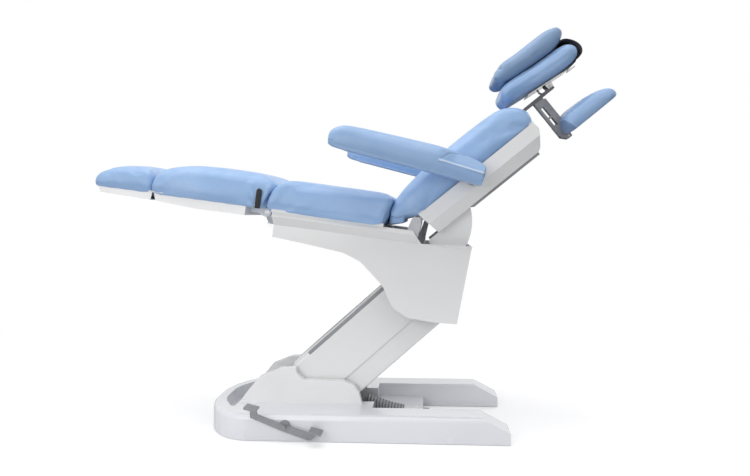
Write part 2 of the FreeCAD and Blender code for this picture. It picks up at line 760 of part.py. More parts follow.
legLugLine = [
    (legU - 13, legW - 6),
    (legU - 4, legW - 14),
    (ladderFront + 8, frameLow),
    (ladderFront + 8, frameTop),
    (legU + 16, frameTop),
    (legU + 8, legW + 13),
    (legU - 8, legW + 12),
]
legLugHole = (legU, legW, dim.hingePinRadius)
legLug = profile("LegLug", seatFrame, legLugLine, legLugInner, legLugOuter, [legLugHole])

seatFrameFuse = doc.addObject("Part::MultiFuse", "SeatFrame")
seatFrameFuse.Shapes = [ladder, tiltCross] + motorMounts + [
    piece for lug in (tiltLug, backLug, legLug) for piece in (lug, mirrored(lug))
]
keep(seatFrameFuse, "seat_frame")

backRailOut = backLugInner - 2
backPin = rod("BackPin", seatFrame, hingeU, hingeW, dim.hingePinRadius, backRailOut - 14, backLugOuter)
legRailIn = legLugOuter + 2
legRailOut = legRailIn + 12
legPin = rod("LegPin", seatFrame, legU, legW, dim.hingePinRadius, legLugInner, legRailOut)
group("hinge_pins", [backPin, mirrored(backPin), legPin, mirrored(legPin)])

boardHalf = dim.seatWide / 2 - 12
seatBoardLine = slab(-dim.seatFront + 20, -dim.backSweep + hingeU - 2, frameTop, boardTop)
seatBoard = profile("SeatBoard", seatFrame, seatBoardLine, -boardHalf, boardHalf)
keep(seatBoard, "seat_board")

seatHalf = dim.seatWide / 2
seatCushionLine = [
    (-dim.seatFront, boardTop),
    (-dim.seatFront + 36, dim.seatTop),
    (0, dim.seatTop),
    (0, boardTop),
]
seatCushion = profile("SeatCushion", seatFrame, seatCushionLine, -seatHalf, seatHalf)
rim = (seatHalf - 0.5).value
rimTop = (dim.seatTop - 0.5).value
boardLine = boardTop.value + 1
addFillet(seatCushion, 28, lambda m, a: m.x < -1 and (m.z > rimTop or m.z > boardLine and abs(m.y) > rim))
sketch = newSketch(seatCushion, "XZ_Plane", 0, [], [(hingeU, hingeW, dim.backSweep + dim.softGap)])
addPocket(seatCushion, sketch, dim.seatWide + 10, both=True)
keep(seatCushion, "seat_cushion")


def shroudSolid(name, inset, outline):
    """The shroud's side outline between its side faces, which step in below the seat."""
    topHalf, lowHalf = dim.shroudTopWide / 2 - inset, dim.shroudLowWide / 2 - inset
    body = newBody(name, seatFrame)
    sketch = newSketch(body, "XZ_Plane", 0, [outline])
    addPad(body, sketch, topHalf * 2, both=True)
    sides = []
    for sign in (-1, 1):
        sides.append(
            [
                (sign * topHalf, dim.shroudFlareTop),
                (sign * (topHalf + 50), dim.shroudFlareTop),
                (sign * (topHalf + 50), -dim.shroudDeep - 40),
                (sign * lowHalf, -dim.shroudDeep - 40),
                (sign * lowHalf, dim.shroudFlareLow),
            ]
        )
    sketch = newSketch(body, "YZ_Plane", 0, sides)
    addPocket(body, sketch, dim.shroudFront * 3, both=True)
    return body


front, rear, deep, wall = dim.shroudFront, dim.shroudRear, dim.shroudDeep, dim.shroudWall
noseLow = frameTop - dim.shroudNose
shroudLine = [
    (-front, frameTop),
    (-front, noseLow),
    (-front + 128, noseLow - 10),
    (-front + 263, noseLow - 23),
    (-front + 330, noseLow - 47),
    (-front + 420, noseLow - 122),
    (rear - 254, -deep + 31),
    (rear - 199, -deep + 2),
    (rear - 105, -deep - 2),
    (rear - 16, -deep + 3),
    (rear, dim.shroudRearTall),
    (hingeU + 27, frameTop - 43),
    (hingeU - 8, frameTop),
]
shroudHollow = [
    (-front + wall, frameTop + 10),
    (-front + wall, noseLow + wall),
    (-front + 128, noseLow - 10 + wall),
    (-front + 263, noseLow - 23 + wall),
    (-front + 273, noseLow - 75),
    (-front + 403, noseLow - 165),
    (-front + 463, -deep - 20),
    (rear - 17 - wall, -deep - 20),
    (rear - wall, dim.shroudRearTall + 8),
    (rear - wall, frameTop + 10),
]
shroudOuter = shroudSolid("ShroudOuter", size(0), shroudLine)
kinkLow, kinkEnd = noseLow.value - 10, rear.value - 180
addFillet(
    shroudOuter,
    dim.shroudSweep,
    lambda m, a: abs(a.y) > 0.9 and m.z < kinkLow and -front.value < m.x < kinkEnd,
)
leverDoor = slab(-front - 5, -front + wall + 1, noseLow + wall + 2, frameTop - 10)
sketch = newSketch(shroudOuter, "XZ_Plane", 0, [leverDoor])
addPocket(shroudOuter, sketch, 190, both=True)
lugSlots = [
    slab(legLugInner - 2, legLugOuter + 2, frameLow - 6, frameTop + 1),
    slab(-legLugOuter - 2, -legLugInner + 2, frameLow - 6, frameTop + 1),
]
sketch = newSketch(shroudOuter, "YZ_Plane", -front - 1, lugSlots)
addPocket(shroudOuter, sketch, wall + 3, flip=True)
shroudInner = shroudSolid("ShroudInner", wall, shroudHollow)
seatShroud = doc.addObject("Part::Cut", "SeatShroud")
seatShroud.Base = shroudOuter
seatShroud.Tool = shroudInner
keep(seatShroud, "seat_shroud")


# Leg section: a frame on two hinge pins, a shallow white pan and a cushion; it swings down.

legBoard = size(5)
legFrameTop = dim.legCushionLow - legBoard
legFrameLow = legFrameTop - dim.frameTube
legFar = -dim.legLong + 11
legShellEnd = size(-66)
slideOut = legRailIn - 28
slideIn = slideOut - 26
slideLow, slideHigh = size(0), size(12)
slideGap = size(0.3)
legBarStart = legFar + 14
legBarLine = [
    (legBarStart, legFrameLow),
    (-28, legFrameLow),
    (-14, -15),
    (-5, -18),
    (7, -15),
    (14, -8),
    (15, 5),
    (8, 13),
    (-8, 14),
    (-26, legFrameTop),
    (legBarStart, legFrameTop),
]
legBar = profile(
    "LegBar", legFrame, legBarLine, legRailIn, legRailOut, [(0, 0, dim.hingePinRadius + pinGap)]
)
housing = newBody("SlideHousing", legFrame)
housingLines = [
    slab(slideIn - 6, legRailIn + 1, legFrameLow, legFrameTop),
    slab(slideIn - slideGap, slideOut + slideGap, slideLow - slideGap, slideHigh + slideGap),
]
housingLong = dim.legLong - 170
sketch = newSketch(housing, "YZ_Plane", legBarStart, housingLines)
addPad(housing, sketch, housingLong)
crossStart = size(-64)
crossWide = size(24)
legCrossLine = slab(crossStart, crossStart + crossWide, legFrameLow, legFrameTop)
legCross = profile("LegCross", legFrame, legCrossLine, -legRailIn - 1, legRailIn + 1)
housingEnd = legBarStart + housingLong
farCrossLine = slab(housingEnd - crossWide, housingEnd, legFrameLow, legFrameTop)
farCross = profile("LegFarCross", legFrame, farCrossLine, -slideIn + 5, slideIn - 5)

legLeverU, legLeverW = dim.leverRadius * cosine(dim.leverAngle), -dim.leverRadius * sine(dim.leverAngle)
legLeverLine = [
    (crossStart + 1, legFrameLow + 2),
    (crossStart + 23, legFrameLow + 2),
    (legLeverU + 13, legLeverW + 2),
    (legLeverU + 4, legLeverW - 12),
    (legLeverU - 10, legLeverW - 8),
]
legFrameFuse = doc.addObject("Part::MultiFuse", "LegFrame")
legFrameFuse.Shapes = [
    piece for side in (legBar, housing) for piece in (side, mirrored(side))
] + [legCross, farCross] + lever("LegLever", legFrame, legLeverLine, legLeverU, legLeverW, legMotorY)
keep(legFrameFuse, "leg_frame")

legBoardLine = slab(-dim.legLong + 6, -20, legFrameTop, dim.legCushionLow)
keep(profile("LegBoard", legFrame, legBoardLine, -boardHalf, boardHalf), "leg_board")

legCushionLine = [
    (-dim.legLong, dim.legCushionLow),
    (-dim.legLong + 22, dim.legCushionTop - 28),
    (-dim.legLong + 150, dim.legCushionTop - 4),
    (dim.legOverhang - 150, dim.legCushionTop),
    (dim.legOverhang - 40, dim.legCushionTop - 6),
    (dim.legOverhang - 6, dim.legCushionTop - 24),
    (-4, dim.legCushionLow),
]
legCushion = profile("LegCushion", legFrame, legCushionLine, -seatHalf, seatHalf)
legLow = dim.legCushionLow.value + 1
addFillet(legCushion, 18, lambda m, a: m.z > legLow and (abs(m.y) > rim or abs(a.y) > 0.9))
keep(legCushion, "leg_cushion")

panWall = size(3)
legShellHalf = dim.seatWide / 2 - 18
legShellLine = [
    (legFar, legFrameTop),
    (legFar + 8, legFrameTop - 28),
    (legFar + 150, -dim.legShellDeep - panWall),
    (legShellEnd, -dim.legShellDeep - panWall),
    (legShellEnd, legFrameTop),
]
legShellHollow = [
    (legFar + panWall, legFrameTop + 5),
    (legFar + panWall + 8, legFrameTop - 25),
    (legFar + 151, -dim.legShellDeep),
    (legShellEnd - panWall, -dim.legShellDeep),
    (legShellEnd - panWall, legFrameTop + 5),
]
legShell = profile("LegShell", legFrame, legShellLine, -legShellHalf, legShellHalf)
sketch = newSketch(legShell, "XZ_Plane", 0, [legShellHollow])
addPocket(legShell, sketch, (legShellHalf - panWall) * 2, both=True)
slots = [
    slab(slideIn - 3, slideOut + 3, slideLow - 3, legFrameTop + 1),
    slab(-slideOut - 3, -slideIn + 3, slideLow - 3, legFrameTop + 1),
]
sketch = newSketch(legShell, "YZ_Plane", legFar - 1, slots)
addPocket(legShell, sketch, 20, flip=True)
barSlots = [
    slab(legRailIn - 1, legRailOut + 1, legFrameLow - 1, legFrameTop + 1),
    slab(-legRailOut - 1, -legRailIn + 1, legFrameLow - 1, legFrameTop + 1),
]
sketch = newSketch(legShell, "YZ_Plane", legShellEnd - panWall - 2, barSlots)
addPocket(legShell, sketch, 10, flip=True)
keep(legShell, "leg_shell")

# Foot section: two slides in the leg frame carry a small pan and cushion, which pull out.

footStart = -dim.legLong - dim.footGap
footBoardTop = dim.legCushionLow
footFar = -dim.footLong
footRail = profile(
    "FootRail", legFrame,
    [
        (footFar + 37, slideLow),
        (legFar + housingLong - 60, slideLow),
        (legFar + housingLong - 60, slideHigh),
        (footStart - 8, slideHigh),
        (footStart - 8, legFrameTop),
        (footFar + 37, legFrameTop),
    ],
    slideIn, slideOut,
)
footHalf = dim.footWide / 2
footBoardLine = slab(footFar + 8, footStart - 2, legFrameTop, footBoardTop)
footBoard = profile("FootBoard", legFrame, footBoardLine, -footHalf + 10, footHalf - 10)
group("foot_slides", [footBoard, footRail, mirrored(footRail)])
footCushionLine = [
    (footFar, footBoardTop),
    (footFar - 6, footBoardTop + 10),
    (footFar + 18, footBoardTop + 42),
    (footFar + 70, dim.footCushionTop - 6),
    (footFar + 160, dim.footCushionTop),
    (footStart, dim.footCushionTop - 12),
    (footStart, footBoardTop),
]
footCushion = profile("FootCushion", legFrame, footCushionLine, -footHalf, footHalf)
footRim = footHalf.value - 0.5
addFillet(footCushion, 14, lambda m, a: m.z > legLow and abs(m.y) > footRim and a.x * a.x > 0.2)
keep(footCushion, "foot_cushion")
footShellLine = [
    (footFar + 10, legFrameTop),
    (footFar + 22, legFrameTop - 24),
    (footStart - 4, -dim.footShellDeep - panWall),
    (footStart, legFrameTop),
]
footShellHollow = [
    (footFar + 10 + panWall, legFrameTop + 5),
    (footFar + 24 + panWall, legFrameTop - 22),
    (footStart + 8, -dim.footShellDeep),
    (footStart + 8, legFrameTop + 5),
]
footShell = profile("FootShell", legFrame, footShellLine, -footHalf + 12, footHalf - 12)
sketch = newSketch(footShell, "XZ_Plane", 0, [footShellHollow])
addPocket(footShell, sketch, (footHalf - 12 - panWall) * 2, both=True)
keep(footShell, "foot_shell")


# Back section: ladder, board, white shell with a curved tail, grey rear panel and cushion.

backHalf = dim.backWide / 2
backFrameTop = dim.backCushionLow - legBoard
backFrameLow = backFrameTop - dim.frameTube
backRailIn = backRailOut - dim.frameRail
backLadder = newBody("BackLadder", backFrame)
backPlan = [
    (-18, -backRailOut),
    (dim.backLong - 48, -backRailOut),
    (dim.backLong - 48, backRailOut),
    (-18, backRailOut),
    (-18, backRailIn),
    (30, backRailIn),
    (30, -backRailIn),
    (-18, -backRailIn),
]
sketch = newSketch(backLadder, "XY_Plane", backFrameLow, [backPlan])
addPad(backLadder, sketch, dim.frameTube)
window = slab(60, dim.backLong - 78, -backRailIn, backRailIn)
sketch = newSketch(backLadder, "XY_Plane", backFrameLow, [window])
addPocket(backLadder, sketch, dim.frameTube, flip=True)
sketch = newSketch(backLadder, "XZ_Plane", 0, [], [(0, 0, dim.hingePinRadius + pinGap)])
addPocket(backLadder, sketch, backRailOut * 2 + 10, both=True)

backLeverU = dim.backLeverRadius * cosine(dim.backLeverAngle)
backLeverW = -dim.backLeverRadius * sine(dim.backLeverAngle)
backLeverLine = [
    (32, backFrameLow + 2),
    (58, backFrameLow + 2),
    (backLeverU + 13, backLeverW - 10),
    (backLeverU - 4, backLeverW - 13),
    (backLeverU - 13, backLeverW - 2),
    (backLeverU - 6, backLeverW + 12),
]
backFrameFuse = doc.addObject("Part::MultiFuse", "BackFrame")
backFrameFuse.Shapes = [backLadder] + lever(
    "BackLever", backFrame, backLeverLine, backLeverU, backLeverW, backMotorY
)
keep(backFrameFuse, "back_frame")
backBoardLine = slab(22, dim.backLong - 18, backFrameTop, dim.backCushionLow)
keep(profile("BackBoard", backFrame, backBoardLine, -backHalf + 12, backHalf - 12), "back_board")

shellRear = -dim.backShellDeep
shellLong = dim.backShellLong


def backShellSolid(name, inset, outline):
    half = backHalf - inset
    narrow = half - 35
    body = profile(name, backFrame, outline, -half, half)
    sides = []
    for sign in (-1, 1):
        sides.append([(sign * half, -36), (sign * (half + 40), -36), (sign * (half + 40), shellRear - 40),
                      (sign * narrow, shellRear - 40), (sign * narrow, shellRear + inset)])
    sketch = newSketch(body, "YZ_Plane", 0, sides)
    addPocket(body, sketch, shellLong * 3, both=True)
    return body


shellLine = [
    (20, backFrameTop),
    (36, shellRear),
    (shellLong - 43, shellRear),
    (shellLong - 29, shellRear + 10),
    (shellLong + 4, -16),
    (shellLong, backFrameTop),
]
shellHollow = [
    (10, backFrameTop + 5),
    (26, shellRear + wall),
    (shellLong - 45, shellRear + wall),
    (shellLong - 32, shellRear + 13),
    (shellLong - 1, -16),
    (shellLong - wall, backFrameTop + 5),
]
armBolt = (dim.armrestS, dim.armrestT, dim.armBoltRadius)
shellOuter = backShellSolid("BackShellOuter", size(0), shellLine)
sketch = newSketch(shellOuter, "XZ_Plane", 0, [], [armBolt])
addPocket(shellOuter, sketch, dim.backWide + 10, both=True)
backShell = doc.addObject("Part::Cut", "BackShell")
backShell.Base = shellOuter
backShell.Tool = backShellSolid("BackShellInner", wall, shellHollow)

panelStart = size(190)
rearHalf = backHalf - 40
rearLine = slab(panelStart, shellLong - 44, shellRear - dim.backPanelThick, shellRear)
rearPanel = profile("BackPanel", backFrame, rearLine, -rearHalf, rearHalf)
keep(rearPanel, "back_panel")

# The tail is a drum segment about the hinge, so that it slides into the shroud as the back lies down.


def drumSegment(radius, inner, fromAngle, toAngle):
    """A wedge of a thick tube about the back hinge."""
    count = 6
    outline = []
    for i in range(count + 1):
        turn = fromAngle + (toAngle - fromAngle) * (i / count)
        outline.append((radius * cosine(turn), radius * sine(turn)))
    for i in range(count + 1):
        turn = toAngle + (fromAngle - toAngle) * (i / count)
        outline.append((inner * cosine(turn), inner * sine(turn)))
    return outline


tailHigh, tailSideLow, tailRearLow = size(-25), size(-98), size(-62)
tailHalf = dim.tailWide / 2
tailRadius = dim.tailRadius
tailSideLine = drumSegment(tailRadius, size(70), tailSideLow, tailHigh)
tailSide = profile("TailSide", backFrame, tailSideLine, tailHalf - wall, tailHalf)
tailRearLine = drumSegment(tailRadius, tailRadius - wall, tailRearLow, tailHigh)
tailRear = profile("TailRear", backFrame, tailRearLine, -tailHalf + 1, tailHalf - 1)
tailAll = doc.addObject("Part::MultiFuse", "TailAll")
tailAll.Shapes = [tailSide, mirrored(tailSide), tailRear]
tailTrim = profile("TailTrim", backFrame, slab(-100, 300, shellRear - 0.3, 300), -300, 300)
tail = doc.addObject("Part::Cut", "BackTail")
tail.Base = tailAll
tail.Tool = tailTrim
group("back_shell", [backShell, tail])

cushionLow, cushionTop, long = dim.backCushionLow, dim.backCushionTop, dim.backLong
backCushionLine = [
    (14, cushionLow),
    (7, cushionTop - 8),
    (58, cushionTop),
    (244, cushionTop + 16),
    (long - 75, cushionTop + 9),
    (long - 14, cushionTop - 31),
    (long, cushionTop - 66),
    (long - 16, cushionLow),
]
backCushion = profile("BackCushion", backFrame, backCushionLine, -backHalf, backHalf)
backRim = backHalf.value - 0.5
addFillet(backCushion, 18, lambda m, a: abs(m.y) > backRim and m.x > 30 and m.z > cushionLow.value + 30)
postT, postHalf = dim.headPostT, dim.headPostThick / 2
postIn = postReach - dim.headPostIn - 156
socketLow, socketHigh = postT - postHalf - 6, postT + postHalf + 6
socketHalf = dim.headPostWide / 2 + 8
gap = dim.softGap
riser = slab(postIn - gap, long - 28 + gap, cushionLow - 5, socketHigh + gap)
sketch = newSketch(backCushion, "XZ_Plane", 0, [riser])
addPocket(backCushion, sketch, (socketHalf + gap) * 2, both=True)
slot = slab(long - 60, long + 40, socketLow + 4, socketHigh - 4)
sketch = newSketch(backCushion, "XZ_Plane", 0, [slot])
addPocket(backCushion, sketch, (socketHalf - 4) * 2, both=True)
keep(backCushion, "back_cushion")

socketFace = slab(-socketHalf, socketHalf, cushionLow, socketHigh)
socketHole = slab(
    -dim.headPostWide / 2 - slideGap, dim.headPostWide / 2 + slideGap,
    postT - postHalf - slideGap, postT + postHalf + slideGap,
)
socket = newBody("PostSocket", backFrame)
sketch = newSketch(socket, "YZ_Plane", postIn, [socketFace, socketHole])
addPad(socket, sketch, long - 28 - postIn)
keep(socket, "post_socket")

armrestInner = dim.armrestInside / 2
boltS, boltT = dim.armrestS, dim.armrestT
boltEnd = armrestInner + 34
armBoltRod = rod("ArmBolt", backFrame, boltS, boltT, dim.armBoltRadius, backRailOut, boltEnd)
armSpacer = rod("ArmSpacer", backFrame, boltS, boltT, 20, backHalf, armrestInner - 0.5)
boltFuse = doc.addObject("Part::MultiFuse", "ArmrestBolt")
boltFuse.Shapes = [armBoltRod, armSpacer]
pair("armrest_bolts", boltFuse)


# Armrests: a board and a pad on a bolt at each side of the back; they swing up.

def armrest(side, sign):
    lowY = armrestInner if sign > 0 else -armrestInner - dim.armrestWide
    highY = lowY + dim.armrestWide
    boardLow, boardHigh = -dim.armBoardThick / 2, dim.armBoardThick / 2
    tip = -dim.armrestLong
    boardLine = [
        (tip + 26, boardLow + 2),
        (tip + 60, boardLow - 2),
        (dim.armrestRear, boardLow - 4),
        (dim.armrestRear + 2, boardHigh),
        (tip + 4, boardHigh),
        (tip + 6, boardLow + 14),
    ]
    board = profile("ArmBoard" + side, armrestFrame, boardLine, lowY, highY)
    boreIn = sign * armrestInner if sign > 0 else -boltEnd - 0.5
    boreSketch = newSketch(board, "XZ_Plane", -(boreIn + (boltEnd - armrestInner) + 0.5), [],
                           [(0, 0, dim.armBoltRadius + pinGap)])
    addPocket(board, boreSketch, boltEnd - armrestInner + 0.5, flip=True)
    keep(board, "armrest_board_" + side)
    top = dim.armPadTop
    padLine = [
        (tip, boardHigh),
        (tip - 2, boardHigh + 18),
        (tip + 33, top - 10),
        (tip + 110, top - 2),
        (-106, top),
        (dim.armrestRear - 4, top - 18),
        (dim.armrestRear, boardHigh),
    ]
    pad = profile("ArmPad" + side, armrestFrame, padLine, lowY, highY)
    addFillet(pad, 14, lambda m, a: abs(a.y) < 0.5 and m.z > boardHigh.value + 20 and m.x > (tip + 2).value)
    keep(pad, "armrest_pad_" + side)


armrest("left", 1)
armrest("right", -1)


# Head section: a flat post, a ratchet box under it, a tilting pad with a strapped pillow, a neck pad.

postEnd = postReach
pinS, pinT = postEnd - dim.headPinBack, dim.headPinT
postLine = [
    (postIn + 4, postT - postHalf),
    (postEnd, postT - postHalf),
    (postEnd, postT + postHalf),
    (pinS + 7, pinT + 9),
    (pinS - 7, pinT + 9),
    (postEnd - 28, postT + postHalf),
    (postIn + 4, postT + postHalf),
]
postWide = dim.headPostWide / 2
headPost = profile("HeadPost", backFrame, postLine, -postWide, postWide)
sketch = newSketch(headPost, "XZ_Plane", 0, [], [(pinS, pinT, 5)])
addPocket(headPost, sketch, dim.headPostWide + 4, both=True)
keep(headPost, "head_post")
headPinRod = rod("HeadPin", backFrame, pinS, pinT, 5, -postWide - 12, postWide + 12)

neckS, neckT = postReach - dim.neckPinBack, dim.neckPinT
boxHalf = size(18)
boxStartS, boxEndS = neckS - 27, neckS + 13
boxTop = postT - postHalf
boxLowT = boxTop - dim.ratchetLong
boxLine = slab(boxStartS, boxEndS, boxLowT + 20, boxTop)
ratchet = profile("RatchetBox", backFrame, boxLine, -boxHalf, boxHalf)
for k in range(2):
    slotHigh = boxTop - 30 - 50 * k
    sketch = newSketch(ratchet, "XZ_Plane", 0, [slab(boxStartS + 9, boxStartS + 22, slotHigh - 42, slotHigh)])
    addPocket(ratchet, sketch, boxHalf * 2 + 4, both=True)
earLine = [
    (boxStartS, boxLowT + 60),
    (boxStartS, boxLowT + 12),
    (neckS - 9, neckT - 9),
    (neckS + 9, neckT - 9),
    (neckS + 12, neckT + 6),
    (boxEndS, boxLowT + 60),
]
ear = profile("RatchetEar", backFrame, earLine, boxHalf, boxHalf + 4, [(neckS, neckT, 5)])
ratchetFuse = doc.addObject("Part::MultiFuse", "Ratchet")
ratchetFuse.Shapes = [ratchet, ear, mirrored(ear)]
neckPinRod = rod("NeckPin", backFrame, neckS, neckT, 5, -boxHalf - 6, boxHalf + 6)
group("head_pins", [headPinRod, neckPinRod])
ratchetBar = profile("RatchetBar", backFrame, slab(boxEndS, boxEndS + 8, boxLowT + 24, boxTop - 8), -12, 12)
group("ratchet_box", [ratchetFuse, ratchetBar])

headHalf = dim.headPadWide / 2
padLow = size(16)
padHigh = padLow + dim.headPadThick
headEnd = -dim.headPadStart + dim.headPadLong
plateLine = slab(-90, 80, padLow - 4, padLow)
headPlate = profile("HeadPlate", headFrame, plateLine, -60, 60)
plateEarLine = [(-14, padLow - 2), (-9, -7), (9, -7), (14, padLow - 2)]
plateEar = profile(
    "HeadPlateEar", headFrame, plateEarLine, postWide + 2, postWide + 8, [(0, 0, 5 + pinGap)]
)
headPlateFuse = doc.addObject("Part::MultiFuse", "HeadPlateAll")
headPlateFuse.Shapes = [headPlate, plateEar, mirrored(plateEar)]
keep(headPlateFuse, "head_plate")
headPadLine = [
    (-dim.headPadStart + 12, padLow),
    (-dim.headPadStart, padLow + 20),
    (-dim.headPadStart + 18, padHigh - 6),
    (-dim.headPadStart + 60, padHigh),
    (headEnd - 12, padHigh - 4),
    (headEnd, padHigh - 30),
    (headEnd - 22, padLow),
]
headPad = profile("HeadPad", headFrame, headPadLine, -headHalf, headHalf)
headRim = headHalf.value - 0.5
addFillet(headPad, 14, lambda m, a: abs(m.y) > headRim and m.z > padLow.value + 12 and abs(a.x) > 0.3)
keep(headPad, "head_pad")
strapThick = size(2)
pillowLow = padHigh + strapThick + gap * 2
pillowStart = -dim.headPadStart + 23
pillowEnd = pillowStart + dim.pillowLong
pillowTop = pillowLow + dim.pillowThick
pillowLine = [
    (pillowStart + 10, pillowLow + 2),
    (pillowStart - 4, pillowLow + 40),
    (pillowStart + 46, pillowTop + 10),
    (pillowEnd - 60, pillowTop + 24),
    (pillowEnd - 8, pillowTop + 22),
    (pillowEnd + 2, pillowLow + 36),
    (pillowEnd - 38, pillowLow),
]
pillow = profile("Pillow", headFrame, pillowLine, -dim.pillowWide / 2, dim.pillowWide / 2)
pillowRim = (dim.pillowWide / 2).value - 0.5
addFillet(pillow, 12, lambda m, a: abs(m.y) > pillowRim and abs(a.x) > 0.3)
keep(pillow, "pillow")
bandHalf = size(112)
bandOut = headEnd + 3
strapTop = padHigh + gap
strapLine = [
    (-20, strapTop),
    (headEnd + 1, strapTop),
    (headEnd + 1, padLow - gap),
    (headEnd - 52, padLow - gap),
    (headEnd - 52, padLow - gap - strapThick),
    (bandOut, padLow - gap - strapThick),
    (bandOut, strapTop + strapThick),
    (-20, strapTop + strapThick),
]
keep(profile("PillowStrap", headFrame, strapLine, -bandHalf, bandHalf), "pillow_strap")
buckleLow = padLow - gap - strapThick
buckleLine = slab(headEnd - 50, headEnd - 20, buckleLow - 5, buckleLow)
buckle = profile("StrapBuckle", headFrame, buckleLine, -24, 24)
sketch = newSketch(buckle, "XZ_Plane", 0, [slab(headEnd - 44, headEnd - 37, buckleLow - 6, buckleLow + 1)])
addPocket(buckle, sketch, 36, both=True)
keep(buckle, "strap_buckle")

neckLow = size(9)
plateHalf = boxHalf - 4
neckBossLine = [(-12, neckLow - 1), (-8, -7), (8, -7), (12, neckLow - 1)]
neckPlateFuse = doc.addObject("Part::MultiFuse", "NeckPlateAll")
neckPlateFuse.Shapes = [
    profile("NeckPlate", neckFrame, slab(-8, 110, neckLow - 4, neckLow), -plateHalf, plateHalf),
    profile("NeckBoss", neckFrame, neckBossLine, -plateHalf, plateHalf, [(0, 0, 5 + pinGap)]),
]
keep(neckPlateFuse, "neck_plate")
neckHigh = neckLow + dim.neckPadThick
neckLong = dim.neckPadLong
neckHalf = dim.neckPadWide / 2
neckLine = [
    (-14, neckLow),
    (2, neckHigh - 7),
    (neckLong - 50, neckHigh),
    (neckLong - 12, neckHigh - 20),
    (neckLong, neckLow + 8),
    (neckLong - 12, neckLow),
]
neckPad = profile("NeckPad", neckFrame, neckLine, -neckHalf, neckHalf)
neckRim = neckHalf.value - 0.5
addFillet(neckPad, 12, lambda m, a: abs(m.y) > neckRim and m.z > neckLow.value + 5 and abs(a.x) > 0.3)
notch = slab(-30, boxEndS - neckS + 10, neckLow - 2, neckHigh + 5)
sketch = newSketch(neckPad, "XZ_Plane", 0, [notch])
addPocket(neckPad, sketch, (boxHalf + 6) * 2, both=True)
keep(neckPad, "neck_pad")


# Actuators: a tube that swings on a fixed pin and a rod whose far eye is loose on its lever pin.

def actuator(label, x, z, endX, endZ, y, tubeLong, rodStart, pinRadius):
    dx, dz = endX - x, endZ - z
    frame = Frame(x, z, direction(dx, dz))
    long = root(dx * dx + dz * dz)
    eye = pinRadius + 7
    motor = newBody("Motor_" + label, frame)
    bore = (0, 0, pinRadius + pinGap)
    sketch = newSketch(motor, "XZ_Plane", 0, [slab(-eye, eye + 12, -eye, eye)], [bore])
    addPad(motor, sketch, 14, both=True)
    sketch = newSketch(motor, "YZ_Plane", eye + 6, [], [(0, 0, dim.motorRadius)])
    addPad(motor, sketch, tubeLong - eye - 6)
    sketch = newSketch(motor, "YZ_Plane", eye + 14, [], [(0, 0, dim.rodRadius + pinGap)])
    addPocket(motor, sketch, tubeLong, flip=True)
    motor.setExpression("Placement.Base.y", size(y).text)
    keep(motor, label + "_motor")
    eyeHalf = dim.freeBore + 5
    shaft = newBody("Shaft_" + label, frame)
    eyeLine = slab(long - eyeHalf - 4, long + eyeHalf, -eyeHalf, eyeHalf)
    sketch = newSketch(shaft, "XZ_Plane", 0, [eyeLine], [(long, 0, dim.freeBore)])
    addPad(shaft, sketch, 12, both=True)
    sketch = newSketch(shaft, "YZ_Plane", rodStart, [], [(0, 0, dim.rodRadius)])
    addPad(shaft, sketch, long - eyeHalf - rodStart)
    shaft.setExpression("Placement.Base.y", size(y).text)
    keep(shaft, label + "_rod")


liftX, liftZ = size(-20), size(60)
driveX, driveZ = columnFrame.point(driveU, 0)
actuator("lift", liftX, liftZ, driveX, driveZ, 0, 230, 200, dim.freePinRadius)
liftLug = [
    (liftX - 24, dim.plateThick),
    (liftX + 24, dim.plateThick),
    (liftX + 12, liftZ + 8),
    (liftX, liftZ + 13),
    (liftX - 12, liftZ + 8),
]
clevis = lever("LiftLug", floorFrame, liftLug, liftX, liftZ, size(0))
group("base_brackets", [columnLug, mirrored(columnLug)] + clevis)

# The lever pins of the back and leg sections run in wide bores and sit off their middle at rest,
# so that each rod clears its pin through the whole swing.
backEyeRise, legEyeDrop = size(5.4), size(5)
tiltX, tiltZ = seatFrame.point(tiltLeverU, tiltLeverW)
actuator("tilt", upperLinkX, upperLinkZ, tiltX, tiltZ, 0, 130, 110, dim.axleRadius)
backStartX, backStartZ = seatFrame.point(backMotorU, backMotorW)
backEndX, backEndZ = backFrame.point(backLeverU, backLeverW)
backEndX = backEndX + backEyeRise * sine(dim.seatTilt)
backEndZ = backEndZ + backEyeRise * cosine(dim.seatTilt)
actuator("back", backStartX, backStartZ, backEndX, backEndZ, backMotorY, 240, 190, dim.freePinRadius)
legStartX, legStartZ = seatFrame.point(legMotorU, legMotorW)
legEndX, legEndZ = legFrame.point(legLeverU, legLeverW)
legEndX = legEndX - legEyeDrop * sine(dim.seatTilt)
legEndZ = legEndZ - legEyeDrop * cosine(dim.seatTilt)
actuator("leg", legStartX, legStartZ, legEndX, legEndZ, legMotorY, 200, 180, dim.freePinRadius)

doc.recompute()
faults = [o.Name for o in doc.Objects if "Invalid" in o.State or "Error" in o.State]
faults += [o.Label for o in subParts if o.Shape.isNull() or not o.Shape.isValid()]
if faults:
    raise ValueError("faults in: " + ", ".join(faults))
os.makedirs("parts", exist_ok=True)
for o in subParts:
    o.Shape.exportStep(f"parts/{o.Label}.step")
    print(f"{o.Label}: {o.Shape.Volume / 1000:.0f} cm3, {len(o.Shape.Solids)} solids")
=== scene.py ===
import bpy
import bmesh
from math import atan, cos, exp, pi, radians, sin, sqrt
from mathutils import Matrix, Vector, noise
from mathutils.bvhtree import BVHTree
from mathutils.kdtree import KDTree


